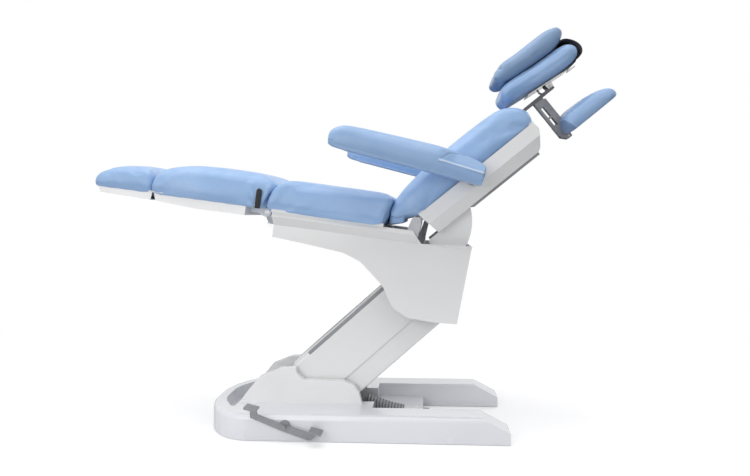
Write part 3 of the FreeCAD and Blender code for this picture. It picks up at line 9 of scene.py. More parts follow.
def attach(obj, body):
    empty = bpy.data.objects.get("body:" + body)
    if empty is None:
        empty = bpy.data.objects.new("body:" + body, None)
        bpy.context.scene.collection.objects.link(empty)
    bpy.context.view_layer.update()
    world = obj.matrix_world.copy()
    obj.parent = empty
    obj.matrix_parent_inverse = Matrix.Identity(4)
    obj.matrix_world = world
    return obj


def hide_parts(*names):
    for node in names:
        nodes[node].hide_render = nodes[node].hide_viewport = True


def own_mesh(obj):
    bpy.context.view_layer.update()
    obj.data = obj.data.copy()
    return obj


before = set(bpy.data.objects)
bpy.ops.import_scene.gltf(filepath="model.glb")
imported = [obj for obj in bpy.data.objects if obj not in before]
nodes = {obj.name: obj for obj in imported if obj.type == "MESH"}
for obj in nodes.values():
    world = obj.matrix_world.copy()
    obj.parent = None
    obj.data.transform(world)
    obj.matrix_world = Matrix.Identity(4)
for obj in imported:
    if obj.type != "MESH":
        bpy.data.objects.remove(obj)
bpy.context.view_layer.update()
scene = bpy.context.scene
print("frame loaded")


# the camera stands where the photograph was taken from
view = {"place": (0.28, -3.0, 0.795), "turn": 4.0, "dip": atan(26 / 786), "lens": 37.73}
camData = bpy.data.cameras.new("photoCamera")
camData.lens = view["lens"]
camData.sensor_width = 36
camera = bpy.data.objects.new("photoCamera", camData)
scene.collection.objects.link(camera)
camera.location = view["place"]
camera.rotation_euler = (pi / 2 - view["dip"], 0, radians(view["turn"]))
scene.camera = camera
scene.view_settings.view_transform = "Standard"


class Local:
    # a section's own frame: u runs along it, y across, w up from it, all in mm
    def __init__(self, x, z, angle):
        self.x, self.z = x, z
        self.c, self.s = cos(radians(angle)), sin(radians(angle))

    def at(self, u, y, w):
        return Vector((self.x + (u * self.c - w * self.s) / 1000, y / 1000,
                       self.z + (u * self.s + w * self.c) / 1000))

    def back(self, p):
        dx, dz = (p.x - self.x) * 1000, (p.z - self.z) * 1000
        return dx * self.c + dz * self.s, p.y * 1000, dz * self.c - dx * self.s


floorFrame = Local(0, 0, 0)
seatFrame = Local(0.170, 0.660, -7.5)
legFrame = Local(-0.305419, 0.795211, -7.5)
backFrame = Local(0.232443, 0.762728, 39)
armFrame = Local(0.426028, 0.906623, -14.5)
headFrame = Local(0.721437, 1.261648, 33)
neckFrame = Local(0.794822, 1.080451, 39)


# shader helpers
class Wire:
    # an output socket that can be used in sums
    def __init__(self, finish, socket):
        self.finish, self.socket = finish, socket

    def sum(self, operation, other, flip=False):
        first, second = (other, self) if flip else (self, other)
        return self.finish.node("ShaderNodeMath", {"operation": operation}, {0: first, 1: second})

    def __add__(self, other):
        return self.sum("ADD", other)

    def __radd__(self, other):
        return self.sum("ADD", other, True)

    def __mul__(self, other):
        return self.sum("MULTIPLY", other)

    def __rmul__(self, other):
        return self.sum("MULTIPLY", other, True)


class Finish:
    # one material: a principled shader and the nodes that feed it
    def __init__(self, name, **shader):
        self.material = bpy.data.materials.new(name)
        self.material.use_nodes = True
        self.tree = self.material.node_tree
        self.tree.nodes.clear()
        self.shader = self.tree.nodes.new("ShaderNodeBsdfPrincipled")
        end = self.tree.nodes.new("ShaderNodeOutputMaterial")
        self.tree.links.new(self.shader.outputs[0], end.inputs[0])
        self.set(**shader)
        self.spot = self.node("ShaderNodeTexCoord", {}, {}, "Object")

    def put(self, socket, value):
        if isinstance(value, Wire):
            self.tree.links.new(value.socket, socket)
        elif socket.type == "RGBA" and len(value) == 3:
            socket.default_value = (*value, 1)
        else:
            socket.default_value = value

    def set(self, **sockets):
        for name, value in sockets.items():
            self.put(self.shader.inputs[name.replace("_", " ")], value)
        return self

    def node(self, kind, settings, sockets, out=0):
        made = self.tree.nodes.new(kind)
        for name, value in settings.items():
            setattr(made, name, value)
        for name, value in sockets.items():
            self.put(made.inputs[name], value)
        return Wire(self, made.outputs[out])

    def stretched(self, x, y, z):
        return self.node("ShaderNodeMapping", {}, {"Vector": self.spot, "Scale": (x, y, z)})

    def cloud(self, scale, detail=3, rough=0.5, at=None):
        return self.node("ShaderNodeTexNoise", {}, {"Vector": at or self.spot, "Scale": scale,
                         "Detail": detail, "Roughness": rough})

    def ramp(self, value, low, high, start=0.0, end=1.0):
        return self.node("ShaderNodeMapRange", {"clamp": True}, {"Value": value, "From Min": low,
                         "From Max": high, "To Min": start, "To Max": end})

    def blend(self, amount, first, second):
        return self.node("ShaderNodeMix", {"data_type": "RGBA"}, {0: amount, 6: first, 7: second}, 2)

    def bump(self, height, strength, depth, under=None):
        sockets = {"Height": height, "Strength": strength, "Distance": depth}
        if under:
            sockets["Normal"] = under
        return self.node("ShaderNodeBump", {}, sockets, "Normal")

    def mark(self, name):
        return self.node("ShaderNodeAttribute", {"attribute_name": name}, {}, "Fac")

    def part(self, axis):
        split = self.node("ShaderNodeSeparateXYZ", {}, {0: self.spot})
        return Wire(self, split.socket.node.outputs[axis])


# finishes
# the dark navy below is painted shade for seam grooves and the neck pad's darker end; the pale
# blue-white is a painted highlight for raised beads
vinylLook = {
    "colour": (0.285, 0.45, 0.72), "pale": (0.33, 0.495, 0.765), "seamShadeGlintAndDarkEnd": (0.05, 0.10, 0.24),
    "ridgeGlint": (0.78, 0.84, 0.93), "grain": 520, "rough": 0.36,
}


def vinyl(name, look=vinylLook, shade=1.0):
    # soft upholstery vinyl: pebbled grain, faint colour drift, painted shade in the deeper seam grooves,
    # a painted highlight along high ridges
    f = Finish(name, Coat_Weight=0.12, Coat_Roughness=0.28, Specular_IOR_Level=0.45)
    drift = f.cloud(5, 3, 0.55)
    seamShadeGlintAndDarkEnd = f.mark("seamShadeGlintAndDarkEnd")
    tone = tuple(c * shade for c in look["colour"])
    light = tuple(c * shade for c in look["pale"])
    body = f.blend(f.ramp(drift, 0.38, 0.66), tone, light)
    rubbed = f.ramp(f.cloud(26, 4, 0.6), 0.60, 0.78, 0, 0.22)
    body = f.blend(rubbed, body, tuple(min(1, c * 1.12) for c in light))
    # painted highlight on ridge beads, then painted shade in seam grooves, both read from the mesh mark
    body = f.blend(f.ramp(seamShadeGlintAndDarkEnd, -0.2, -0.9, 0, 0.85), body, look["ridgeGlint"])
    f.set(Base_Color=f.blend(f.ramp(seamShadeGlintAndDarkEnd, 0.15, 1.0, 0, 0.72), body, look["seamShadeGlintAndDarkEnd"]))
    cells = f.node("ShaderNodeTexVoronoi", {"feature": "DISTANCE_TO_EDGE"},
                   {"Vector": f.spot, "Scale": look["grain"], "Randomness": 0.95})
    grain = f.ramp(cells, 0.02, 0.28) + 0.5 * f.cloud(look["grain"] * 2.2, 2, 0.5)
    folds = f.cloud(9, 2, 0.4, f.stretched(1, 2.6, 1))
    low = f.bump(folds, 0.10, 0.012)
    sheen = f.ramp(f.cloud(18, 4, 0.6), 0.3, 0.75, look["rough"] - 0.05, look["rough"] + 0.09)
    f.set(Roughness=sheen + 0.2 * seamShadeGlintAndDarkEnd, Normal=f.bump(grain, 0.22, 0.0004, low))
    return f.material


shellLook = {"colour": (0.86, 0.862, 0.865), "dust": (0.66, 0.67, 0.69), "rough": 0.2}


def shell(name, look=shellLook, dusty=0.0):
    # gloss moulded plastic: a faint ripple, hairline scuffs, dust near the floor
    f = Finish(name, Coat_Weight=0.35, Coat_Roughness=0.08, Specular_IOR_Level=0.5)
    scuffs = f.ramp(f.cloud(34, 6, 0.72, f.stretched(0.5, 2.2, 3.2)), 0.64, 0.80, 0, 0.5)
    tint = f.blend(f.ramp(f.cloud(3.2, 2, 0.5), 0.35, 0.7), look["colour"],
                   tuple(c * 0.965 for c in look["colour"]))
    low = f.ramp(f.part(2), 0.0, 0.07, dusty, 0)
    grime = low * f.ramp(f.cloud(14, 5, 0.65), 0.3, 0.7, 0.3, 1)
    f.set(Base_Color=f.blend(grime, f.blend(scuffs * 0.25, tint, look["dust"]), look["dust"]),
          Roughness=f.ramp(f.cloud(7, 3, 0.5), 0.3, 0.7, look["rough"] - 0.05, look["rough"] + 0.06)
          + 0.18 * scuffs + 0.25 * grime)
    peel = f.bump(f.cloud(240, 2, 0.4), 0.03, 0.0006)
    f.set(Normal=f.bump(f.cloud(6, 2, 0.4), 0.04, 0.01, peel))
    return f.material


def steel(name, colour, rough, streak, metal=1.0, along=(1, 60, 1)):
    # ground steel: fine streaks one way and finger marks
    f = Finish(name, Metallic=metal)
    lines = f.cloud(90, 4, 0.7, f.stretched(*along))
    smear = f.ramp(f.cloud(22, 4, 0.6), 0.45, 0.75)
    f.set(Base_Color=f.blend(f.ramp(lines, 0.3, 0.7, 0, streak), colour, tuple(c * 0.7 for c in colour)),
          Roughness=rough + 0.14 * f.ramp(lines, 0.3, 0.7) + 0.12 * smear,
          Normal=f.bump(lines, 0.12, 0.0004))
    return f.material


def coat(name, colour, rough=0.45):
    # powder coat on steel: orange peel and rubbed patches
    f = Finish(name, Specular_IOR_Level=0.5)
    worn = f.ramp(f.cloud(30, 6, 0.7), 0.62, 0.74, 0, 0.35)
    f.set(Base_Color=f.blend(worn, colour, tuple(min(1, c * 1.6 + 0.04) for c in colour)),
          Roughness=f.ramp(f.cloud(60, 3, 0.6), 0.3, 0.7, rough - 0.08, rough + 0.1),
          Normal=f.bump(f.cloud(420, 2, 0.5), 0.2, 0.0006))
    return f.material


def plastic(name, colour, rough=0.5, grain=900):
    # textured moulded plastic
    f = Finish(name, Specular_IOR_Level=0.45)
    cells = f.node("ShaderNodeTexVoronoi", {}, {"Vector": f.spot, "Scale": grain})
    pale = f.ramp(f.cloud(16, 5, 0.65), 0.5, 0.8, 0, 0.25)
    f.set(Base_Color=f.blend(pale, colour, tuple(min(1, c * 1.25 + 0.02) for c in colour)),
          Roughness=f.ramp(f.cloud(40, 3, 0.6), 0.3, 0.7, rough - 0.06, rough + 0.08),
          Normal=f.bump(cells, 0.25, 0.0004))
    return f.material


def pleated(name, colour, dark):
    # folded coated cloth, with painted shade along the outer creases
    f = Finish(name, Specular_IOR_Level=0.4)
    crease = f.mark("creaseShade")
    rub = f.ramp(f.cloud(50, 5, 0.65), 0.45, 0.75, 0, 0.3)
    f.set(Base_Color=f.blend(crease, f.blend(rub, colour, tuple(c * 1.5 for c in colour)), dark),
          Roughness=0.5 + 0.2 * rub, Normal=f.bump(f.cloud(700, 2, 0.5), 0.2, 0.0004))
    return f.material


def weave(name, colour, pitch=1100):
    # narrow woven band
    f = Finish(name, Sheen_Weight=0.25, Sheen_Roughness=0.5)
    across = f.node("ShaderNodeTexWave", {"bands_direction": "Y"},
                    {"Vector": f.spot, "Scale": pitch, "Distortion": 0.6})
    along = f.node("ShaderNodeTexWave", {"bands_direction": "DIAGONAL"},
                   {"Vector": f.spot, "Scale": pitch * 0.6, "Distortion": 0.4})
    cloth = across * 0.5 + along * 0.5
    f.set(Base_Color=f.blend(f.ramp(cloth, 0.2, 0.9), tuple(c * 0.6 for c in colour), colour),
          Roughness=f.ramp(cloth, 0, 1, 0.8, 0.65), Normal=f.bump(cloth, 0.5, 0.0006))
    return f.material


finishes = {
    "vinyl": vinyl("blueVinyl"),
    "armVinyl": vinyl("armVinyl", shade=0.93),
    "pillowVinyl": vinyl("pillowVinyl", shade=0.72),
    "shell": shell("whiteShell"),
    "baseShell": shell("baseShell", dict(shellLook, colour=(0.80, 0.81, 0.85)), dusty=0.25),
    "panel": plastic("greyPanel", (0.30, 0.31, 0.33), 0.42),
    "darkCoat": coat("darkCoat", (0.045, 0.046, 0.05)),
    "greyCoat": coat("greyCoat", (0.34, 0.35, 0.37), 0.42),
    "steel": steel("groundSteel", (0.56, 0.56, 0.57), 0.3, 0.6),
    "dullSteel": steel("dullSteel", (0.33, 0.335, 0.35), 0.46, 0.4, 0.85),
    "chrome": steel("chromePlate", (0.60, 0.61, 0.62), 0.14, 0.3),
    "flatBar": steel("darkFlatBar", (0.16, 0.16, 0.17), 0.32, 0.4),
    "black": plastic("blackPlastic", (0.022, 0.022, 0.025), 0.45),
    "rubber": plastic("blackRubber", (0.025, 0.025, 0.026), 0.7, 500),
    "bellows": pleated("greyBellows", (0.27, 0.28, 0.30), (0.03, 0.03, 0.035)),
    "whiteCoat": coat("whiteCoat", (0.74, 0.75, 0.765), 0.34),
    "band": weave("navyBand", (0.018, 0.024, 0.05)),
    "armPlastic": vinyl("armBoardVinyl", shade=0.86),
}
print("finishes made")

# every CAD node that stays visible gets its finish
nodeFinish = {
    "shell": "column_cheeks column_cover column_panel lower_cover seat_shroud back_shell leg_shell "
             "foot_shell",
    "baseShell": "base_cover floor_pan",
    "panel": "back_panel",
    "darkCoat": "base_plate post_socket",
    "whiteCoat": "seat_frame back_frame leg_frame foot_slides seat_board back_board leg_board",
    "greyCoat": "base_brackets main_arm lower_link carriage_plates",
    "steel": "lower_axles upper_axles hinge_pins armrest_bolts neck_plate head_pins",
    "chrome": "lift_rod tilt_rod back_rod leg_rod strap_buckle head_plate",
    "flatBar": "head_post",
    "dullSteel": "rocker_bar rocker_pivot ratchet_box",
    "black": "control_box power_inlet lift_motor tilt_motor back_motor leg_motor",
    "rubber": "levelling_feet",
    "armPlastic": "armrest_board_left armrest_board_right",
}
for key, names in nodeFinish.items():
    for name in names.split():
        mesh = nodes[name].data
        mesh.materials.clear()
        mesh.materials.append(finishes[key])


# form helpers
def chain(points, count):
    # a smooth line through the points, cut into even steps
    p = [Vector(q).to_3d() for q in points]
    p = [p[0] * 2 - p[1]] + p + [p[-1] * 2 - p[-2]]
    fine = []
    for i in range(1, len(p) - 2):
        a, b, c, d = p[i - 1:i + 3]
        for k in range(24):
            t = k / 24
            fine.append(0.5 * (2 * b + (c - a) * t + (2 * a - 5 * b + 4 * c - d) * t * t
                               + (3 * b - a - 3 * c + d) * t ** 3))
    fine.append(p[-2])
    steps = [0]
    for a, b in zip(fine, fine[1:]):
        steps.append(steps[-1] + (b - a).length)
    out, i = [], 0
    for k in range(count):
        want = steps[-1] * k / (count - 1)
        while i < len(steps) - 2 and steps[i + 1] < want:
            i += 1
        out.append(fine[i].lerp(fine[i + 1], (want - steps[i]) / max(1e-9, steps[i + 1] - steps[i])))
    return out


fullTall = 60


def rib(half, tall, look):
    # one cross-section of a cushion: (y, height), round on top and tighter below
    top = min(look["topRound"], 0.49 * tall, half * 0.9)
    low = min(look["lowRound"], 0.49 * tall, half * 0.9)
    right = []
    for k in range(9):
        right.append(((half - low) * k / 8, 0))
    for k in range(1, 6):
        a = pi / 2 * k / 5
        right.append((half - low + low * sin(a), low - low * cos(a)))
    for k in range(1, 5):
        t = k / 5
        out = look["bulge"] * sin(pi * t) * min(1, tall / fullTall)
        right.append((half + out, low + (tall - top - low) * t))
    for k in range(10):
        a = pi / 2 * k / 9
        right.append((half - top + top * cos(a), tall - top + top * sin(a)))
    for k in range(1, 9):
        right.append(((half - top) * (1 - k / 8), tall))
    crown = look["crown"] * min(1, tall / fullTall)
    right = [(y, h + crown * (1 - (y / half) ** 2) * min(1, h / tall) ** 2) for y, h in right]
    return right + [(-y, h) for y, h in reversed(right[1:-1])]


def softForm(name, local, look, middle=0, stations=64):
    low, high = chain(look["low"], stations), chain(look["high"], stations)
    run = [0]
    for i in range(1, stations):
        a, b = (low[i] + high[i]) / 2, (low[i - 1] + high[i - 1]) / 2
        run.append(run[-1] + (a - b).length)
    bm = bmesh.new()
    rows = []
    for i in range(stations):
        half = look["half"]
        for near, corner in ((run[i], look["startCorner"]), (run[-1] - run[i], look["endCorner"])):
            if near < corner:
                half -= corner - sqrt(max(0, corner ** 2 - (corner - near) ** 2))
        tall = (high[i] - low[i]).length
        up = (high[i] - low[i]).normalized() if tall > 1e-6 else Vector((0, 1, 0))
        row = []
        for y, h in rib(half, max(tall, 0.6), look):
            p = low[i] + up * h
            row.append(bm.verts.new(local.at(p.x, middle + y, p.y)))
        rows.append(row)
    for a, b in zip(rows, rows[1:]):
        for k in range(len(a)):
            bm.faces.new((a[k - 1], a[k], b[k], b[k - 1]))
    bm.faces.new(rows[0])
    bm.faces.new(list(reversed(rows[-1])))
    bmesh.ops.recalc_face_normals(bm, faces=bm.faces)
    return madeOf(bm, name)


def madeOf(bm, name, finish=None):
    mesh = bpy.data.meshes.new(name)
    bm.to_mesh(mesh)
    bm.free()
    piece = bpy.data.objects.new(name, mesh)
    scene.collection.objects.link(piece)
    if finish:
        mesh.materials.append(finishes[finish])
        mesh.shade_smooth()
    return piece


def baked(piece):
    # modifiers into the mesh
    depsgraph = bpy.context.evaluated_depsgraph_get()
    mesh = bpy.data.meshes.new_from_object(piece.evaluated_get(depsgraph))
    piece.modifiers.clear()
    old = piece.data
    piece.data = mesh
    bpy.data.meshes.remove(old)
    return piece


def even(piece, voxel):
    # an even skin of small quads, a little smoothed
    remesh = piece.modifiers.new("even", "REMESH")
    remesh.mode = "VOXEL"
    remesh.voxel_size = voxel / 1000
    relax = piece.modifiers.new("relax", "SMOOTH")
    relax.iterations = 4
    return baked(piece)


airLook = {"quality": 4, "mass": 0.25, "stiff": 20, "bend": 1.2, "frames": 20}


def puff(piece, look, local):
    # air pressure in the skin, held where it lies on its board; no point moves past the cap
    even(piece, look["voxel"])
    rest = [v.co.copy() for v in piece.data.vertices]
    held = piece.vertex_groups.new(name="held")
    base = look["base"]
    held.add([v.index for v in piece.data.vertices if local.back(v.co)[2] < base + 3], 1, "REPLACE")
    cloth = piece.modifiers.new("air", "CLOTH")
    s = cloth.settings
    s.quality = airLook["quality"]
    s.mass = airLook["mass"]
    s.tension_stiffness = s.compression_stiffness = airLook["stiff"]
    s.bending_stiffness = airLook["bend"]
    s.use_pressure = True
    s.uniform_pressure_force = look["air"]
    s.effector_weights.gravity = 0
    s.vertex_group_mass = "held"
    for step in range(1, airLook["frames"] + 1):
        scene.frame_set(step)
    baked(piece)
    cap = look["cap"] / 1000
    for v, was in zip(piece.data.vertices, rest):
        move = v.co - was
        v.co = was + move * (cap / sqrt(cap * cap + move.length_squared))
    scene.frame_set(1)
    piece.vertex_groups.clear()
    finer = piece.modifiers.new("finer", "SUBSURF")
    finer.levels = finer.render_levels = 1
    return baked(piece)


# reach, lip and lipAt shape the groove; dark and pale set the width of the painted shade and the painted
# highlight
threadLook = {"reach": 4, "lip": 0.28, "lipAt": 2.1, "dark": 0.55, "pale": 0.8}


def sewn(piece, paths):
    # press lines into the skin: each path is (points, depth mm, width mm), a depth below zero is a bead
    mesh = piece.data
    skin = BVHTree.FromObject(piece, bpy.context.evaluated_depsgraph_get())
    shade = [0.0] * len(mesh.vertices)
    moves = {}
    normals = [v.normal.copy() for v in mesh.vertices]
    for points, depth, width in paths:
        spots = [skin.find_nearest(p)[0] for p in points]
        tree = KDTree(len(spots))
        for i, p in enumerate(spots):
            tree.insert(p, i)
        tree.balance()
        for v in mesh.vertices:
            d = tree.find(v.co)[2] * 1000
            if d < width * threadLook["reach"]:
                dip = exp(-(d / width) ** 2)
                lip = threadLook["lip"] * exp(-((d - threadLook["lipAt"] * width) / width) ** 2)
                moves[v.index] = moves.get(v.index, 0) + depth * (lip - dip)
                # deeper grooves get painted shade along their bottom
                if depth > 1:
                    shade[v.index] = max(shade[v.index], exp(-(d / (width * threadLook["dark"])) ** 2))
                # high beads get a painted highlight along their crest
                elif depth < -2.5:
                    shade[v.index] = -exp(-(d / (width * threadLook["pale"])) ** 2)
    for i, m in moves.items():
        mesh.vertices[i].co += normals[i] * m / 1000
    layer = mesh.attributes.new("seamShadeGlintAndDarkEnd", "FLOAT", "POINT")
    layer.data.foreach_set("value", shade)
    return piece


def finishCushion(piece, body, node, finish):
    piece.data.materials.clear()
    piece.data.materials.append(finishes[finish])
    piece.data.shade_smooth()
    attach(piece, body)
    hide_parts(node)
    print("cushion", piece.name, len(piece.data.vertices))


def line3(local, points, count=60):
    # a thread line in a section's frame, (u, y, w) in mm
    return [local.at(*p) for p in chain(points, count)]


# the seat cushion: boxed front, flat run, hollow rear where the back swings
seatLook = {
    "low": [(-482, 106), (-481, 90), (-474, 78), (-300, 75), (-120, 75), (-70, 76), (-62, 92)],
    "high": [(-482, 106), (-478, 132), (-464, 162), (-442, 179), (-400, 184), (-250, 184), (-110, 183),
             (-52, 181), (-33, 176), (-38, 160), (-50, 130), (-62, 92)],
    "half": 275, "topRound": 38, "lowRound": 14, "crown": 7, "bulge": 4,
    "startCorner": 14, "endCorner": 12,
    "voxel": 8, "air": 4, "cap": 9, "base": 75,
}
seatCushion = puff(softForm("seatCushion", seatFrame, seatLook), seatLook, seatFrame)
sides = []
for y in (-1, 1):
    low = [(-474, y * 274, 96), (-300, y * 281, 96), (-80, y * 279, 96)]
    high = [(-474, y * 262, 150), (-430, y * 252, 178), (-360, y * 246, 184)]
    sides += [(line3(seatFrame, low), 0.8, 7), (line3(seatFrame, high), -1.2, 9)]
sewn(seatCushion, sides)
finishCushion(seatCushion, "seat", "seat_cushion", "vinyl")

# the back cushion: long crowned pad, its lower end tucked in behind the seat, rounded over the head end
backLook = {
    "low": [(-66, 62), (-52, 46), (-26, 36), (4, 24), (30, 10), (80, 8), (300, 8), (500, 8), (530, 14),
             (545, 42)],
    "high": [(-66, 62), (-60, 73), (-36, 88), (-4, 97), (30, 105), (70, 111), (150, 119), (244, 123),
             (380, 121), (473, 114), (515, 96), (541, 66), (545, 42)],
    "half": 246, "topRound": 36, "lowRound": 12, "crown": 6, "bulge": 4,
    "startCorner": 14, "endCorner": 44,
    "voxel": 8, "air": 4, "cap": 9, "base": 8,
}
backCushion = puff(softForm("backCushion", backFrame, backLook), backLook, backFrame)
sides = []
for y in (-1, 1):
    corner = [(520, y * 228, 50), (500, y * 222, 92), (440, y * 222, 112)]
    sides.append((line3(backFrame, corner), -1.2, 9))
sewn(backCushion, sides)
finishCushion(backCushion, "back", "back_cushion", "vinyl")

# the tail of the back cushion: a drum segment about the hinge that fills the gap behind the seat
tailLook = {
    "low": [(42 * cos(radians(a)), 42 * sin(radians(a))) for a in range(90, 151, 10)],
    "high": [(96 * cos(radians(a)), 96 * sin(radians(a))) for a in range(90, 151, 10)],
    "half": 226, "topRound": 16, "lowRound": 10, "crown": 1, "bulge": 0,
    "startCorner": 4, "endCorner": 4,
}
backTail = even(softForm("backTail", backFrame, tailLook), 7)
sewn(backTail, [])
backTail.data.materials.append(finishes["vinyl"])
backTail.data.shade_smooth()
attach(backTail, "back")

# the leg cushion: high crown, nose leans back, a pinched slot in each rear corner over the hinge
legLook = {
    "low": [(-412, 50), (-411, 26), (-398, 12), (-250, 11), (-40, 11), (-8, 14), (14, 60)],
    "high": [(-412, 50), (-406, 76), (-388, 94), (-337, 109), (-257, 122), (-131, 125), (-30, 121),
             (12, 113), (36, 100), (38, 84), (14, 60)],
    "half": 275, "topRound": 44, "lowRound": 14, "crown": 7, "bulge": 5,
    "startCorner": 16, "endCorner": 22,
    "voxel": 8, "air": 4, "cap": 9, "base": 11,
}
legCushion = puff(softForm("legCushion", legFrame, legLook), legLook, legFrame)
sides = []
for y in (-1, 1):
    sides.append((line3(legFrame, [(-21, y * 280, 10), (-21, y * 280, 78)]), 0.9, 14))
    near = [(-42, y * 280, 20), (-46, y * 278, 56), (-60, y * 266, 92)]
    far = [(-2, y * 279, 24), (2, y * 277, 56), (10, y * 268, 86)]
    sides += [(line3(legFrame, near), -2.2, 9), (line3(legFrame, far), -1.6, 7)]
sewn(legCushion, sides)
finishCushion(legCushion, "leg", "leg_cushion", "vinyl")

# a dark rubber block in each rear corner of the leg cushion: painted shade of the hinge slot's hollow,
# together with the dark lever that sits in it
slotLook = {"middle": -21, "low": 10, "high": 80, "half": 9, "out": 283, "deep": 12, "waist": 0.12}
for side, y in (("Left", 1), ("Right", -1)):
    bm = bmesh.new()
    middle, half = slotLook["middle"], slotLook["half"]
    ring = [(middle - half, slotLook["low"]), (middle + half, slotLook["low"])]
    for k in range(13):
        a = pi * k / 12
        wide = half * (1 - slotLook["waist"] * sin(a))
        ring.append((middle + wide * cos(a), slotLook["high"] - half + half * sin(a)))
    outer = [bm.verts.new(legFrame.at(u, y * slotLook["out"], w)) for u, w in ring]
    inner = [bm.verts.new(legFrame.at(u, y * (slotLook["out"] - slotLook["deep"]), w)) for u, w in ring]
    for k in range(len(ring)):
        bm.faces.new((outer[k - 1], outer[k], inner[k], inner[k - 1]))
    bm.faces.new(outer)
    bm.faces.new(list(reversed(inner)))
    bmesh.ops.recalc_face_normals(bm, faces=bm.faces)
    slotPiece = madeOf(bm, "hingeSlot" + side, "rubber")
    soft = slotPiece.modifiers.new("soft", "BEVEL")
    soft.width = 0.0015
    soft.segments = 2
    baked(slotPiece)
    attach(slotPiece, "leg")
print("slots made")

# the foot cushion
footLook = {
    "low": [(-634, 38), (-632, 24), (-618, 12), (-520, 11), (-440, 11), (-420, 18), (-416, 50)],
    "high": [(-634, 38), (-628, 54), (-610, 68), (-558, 88), (-500, 96), (-457, 98), (-434, 93),
             (-420, 78), (-416, 50)],
    "half": 245, "topRound": 34, "lowRound": 12, "crown": 6, "bulge": 4,
    "startCorner": 25, "endCorner": 16,
    "voxel": 7, "air": 4, "cap": 8, "base": 11,
}
footCushion = puff(softForm("footCushion", legFrame, footLook), footLook, legFrame)
sewn(footCushion, [])
finishCushion(footCushion, "foot", "foot_cushion", "vinyl")

# the armrests: pad and board wrapped in one skin, round nose, moulded elbow with a raised ridge
armLook = {
    "low": [(-515, 21), (-508, 1), (-490, -11), (-300, -13), (0, -17), (27, -17), (33, 0)],
    "high": [(-515, 21), (-509, 42), (-482, 60), (-440, 68), (-240, 73), (-105, 74), (-20, 63), (22, 53),
             (33, 39), (33, 0)],
    "half": 51.5, "topRound": 30, "lowRound": 12, "crown": 3, "bulge": 1,
    "startCorner": 40, "endCorner": 10,
    "voxel": 6, "air": 3, "cap": 4, "base": -12,
}


def armPad(side, sign):
    pad = puff(softForm("armPad" + side, armFrame, armLook, sign * 315), armLook, armFrame)
    # the elbow's outer shoulder is cut to a flat facet
    start, normal = Vector((-125, 101, 31)), Vector((0.03, 0.76, 0.65)).normalized()
    for v in pad.data.vertices:
        u, y, w = armFrame.back(v.co)
        local = Vector((u, sign * y - 265, w))
        over = (local - start).dot(normal)
        ease = min(1, max(0, (u + 140) / 70))
        if over > 0 and ease > 0:
            local -= normal * over * ease * ease * (3 - 2 * ease)
            v.co = armFrame.at(local.x, sign * (local.y + 265), local.z)
    arc = [(-124, 365, 32), (-112, 358, 48), (-96, 344, 64), (-60, 330, 69), (0, 322, 58), (24, 318, 48)]
    ridgeGlint = [(-126, 366, 31), (-60, 366, 29), (0, 366, 26), (26, 364, 24)]
    # the arc groove gets painted shade and the ridge bead a painted highlight through the mesh mark
    sewn(pad, [
        (line3(armFrame, [(u, sign * y, w) for u, y, w in arc]), 1.4, 3),
        (line3(armFrame, [(u, sign * y, w) for u, y, w in ridgeGlint]), -3.0, 4),
    ])
    finishCushion(pad, "armrest_" + side.lower(), "armrest_pad_" + side.lower(), "armVinyl")


armPad("Left", 1)
armPad("Right", -1)

# head pad, pillow and neck pad
headLook = {
    "low": [(-184, 44), (-180, 32), (-166, 25), (-100, 22), (60, 20), (108, 26), (130, 38), (139, 54)],
    "high": [(-184, 44), (-184, 60), (-172, 74), (-138, 84), (0, 87), (90, 88), (120, 82), (136, 68),
             (139, 54)],
    "half": 138, "topRound": 20, "lowRound": 30, "crown": 4, "bulge": 3,
    "startCorner": 24, "endCorner": 34,
    "voxel": 6, "air": 4, "cap": 6, "base": 22,
}
headPad = puff(softForm("headPad", headFrame, headLook), headLook, headFrame)
sewn(headPad, [])
finishCushion(headPad, "head", "head_pad", "vinyl")

pillowLook = {
    "low": [(-172, 126), (-166, 110), (-152, 101), (-100, 98), (20, 101), (66, 105), (106, 116),
             (129, 134)],
    "high": [(-172, 126), (-170, 134), (-154, 141), (-134, 147), (-110, 155), (-56, 156), (60, 165),
             (106, 163), (125, 152), (129, 134)],
    "half": 138, "topRound": 14, "lowRound": 18, "crown": 4, "bulge": 3,
    "startCorner": 14, "endCorner": 34,
    "voxel": 6, "air": 4, "cap": 6, "base": 70,
}
pillow = puff(softForm("pillow", headFrame, pillowLook), pillowLook, headFrame)
# the fold line across each side gets painted shade in its groove
fold = [(-132, 130, 145), (-132, 65, 149), (-132, 0, 150)]
sewn(pillow, [(line3(headFrame, [(u, sign * y, w) for u, y, w in fold]), 1.6, 6) for sign in (-1, 1)])
finishCushion(pillow, "head", "pillow", "pillowVinyl")

neckLook = {
    "low": [(-8, 34), (-8, 16), (2, 6), (60, 5), (190, 6), (206, 9), (212, 20)],
    "high": [(-8, 34), (-2, 56), (14, 66), (60, 70), (140, 66), (190, 52), (208, 34), (212, 20)],
    "half": 126, "topRound": 24, "lowRound": 12, "crown": 4, "bulge": 3,
    "startCorner": 30, "endCorner": 30,
    "voxel": 6, "air": 4, "cap": 5, "base": 5,
}
neckPad = puff(softForm("neckPad", neckFrame, neckLook), neckLook, neckFrame)
sewn(neckPad, [])
# the same mark darkens the pad's end near the post
dark = neckPad.data.attributes["seamShadeGlintAndDarkEnd"].data
for v in neckPad.data.vertices:
    u, y, w = neckFrame.back(v.co)
    dark[v.index].value = min(1, max(0, (24 - 0.3 * w - u) / 5)) * 0.8
finishCushion(neckPad, "neck", "neck_pad", "vinyl")


# the strap: a flat band looped round the pillow's back and under the head pad
strapLook = {
    "path": [(-140, 90), (-60, 92), (30, 95), (70, 100), (98, 112), (122, 106), (144, 82), (153, 58),
             (149, 40), (137, 30), (114, 25), (104, 19), (71, 19)],
    "half": 110, "thick": 3.2, "steps": 72, "wave": 1.2,
}


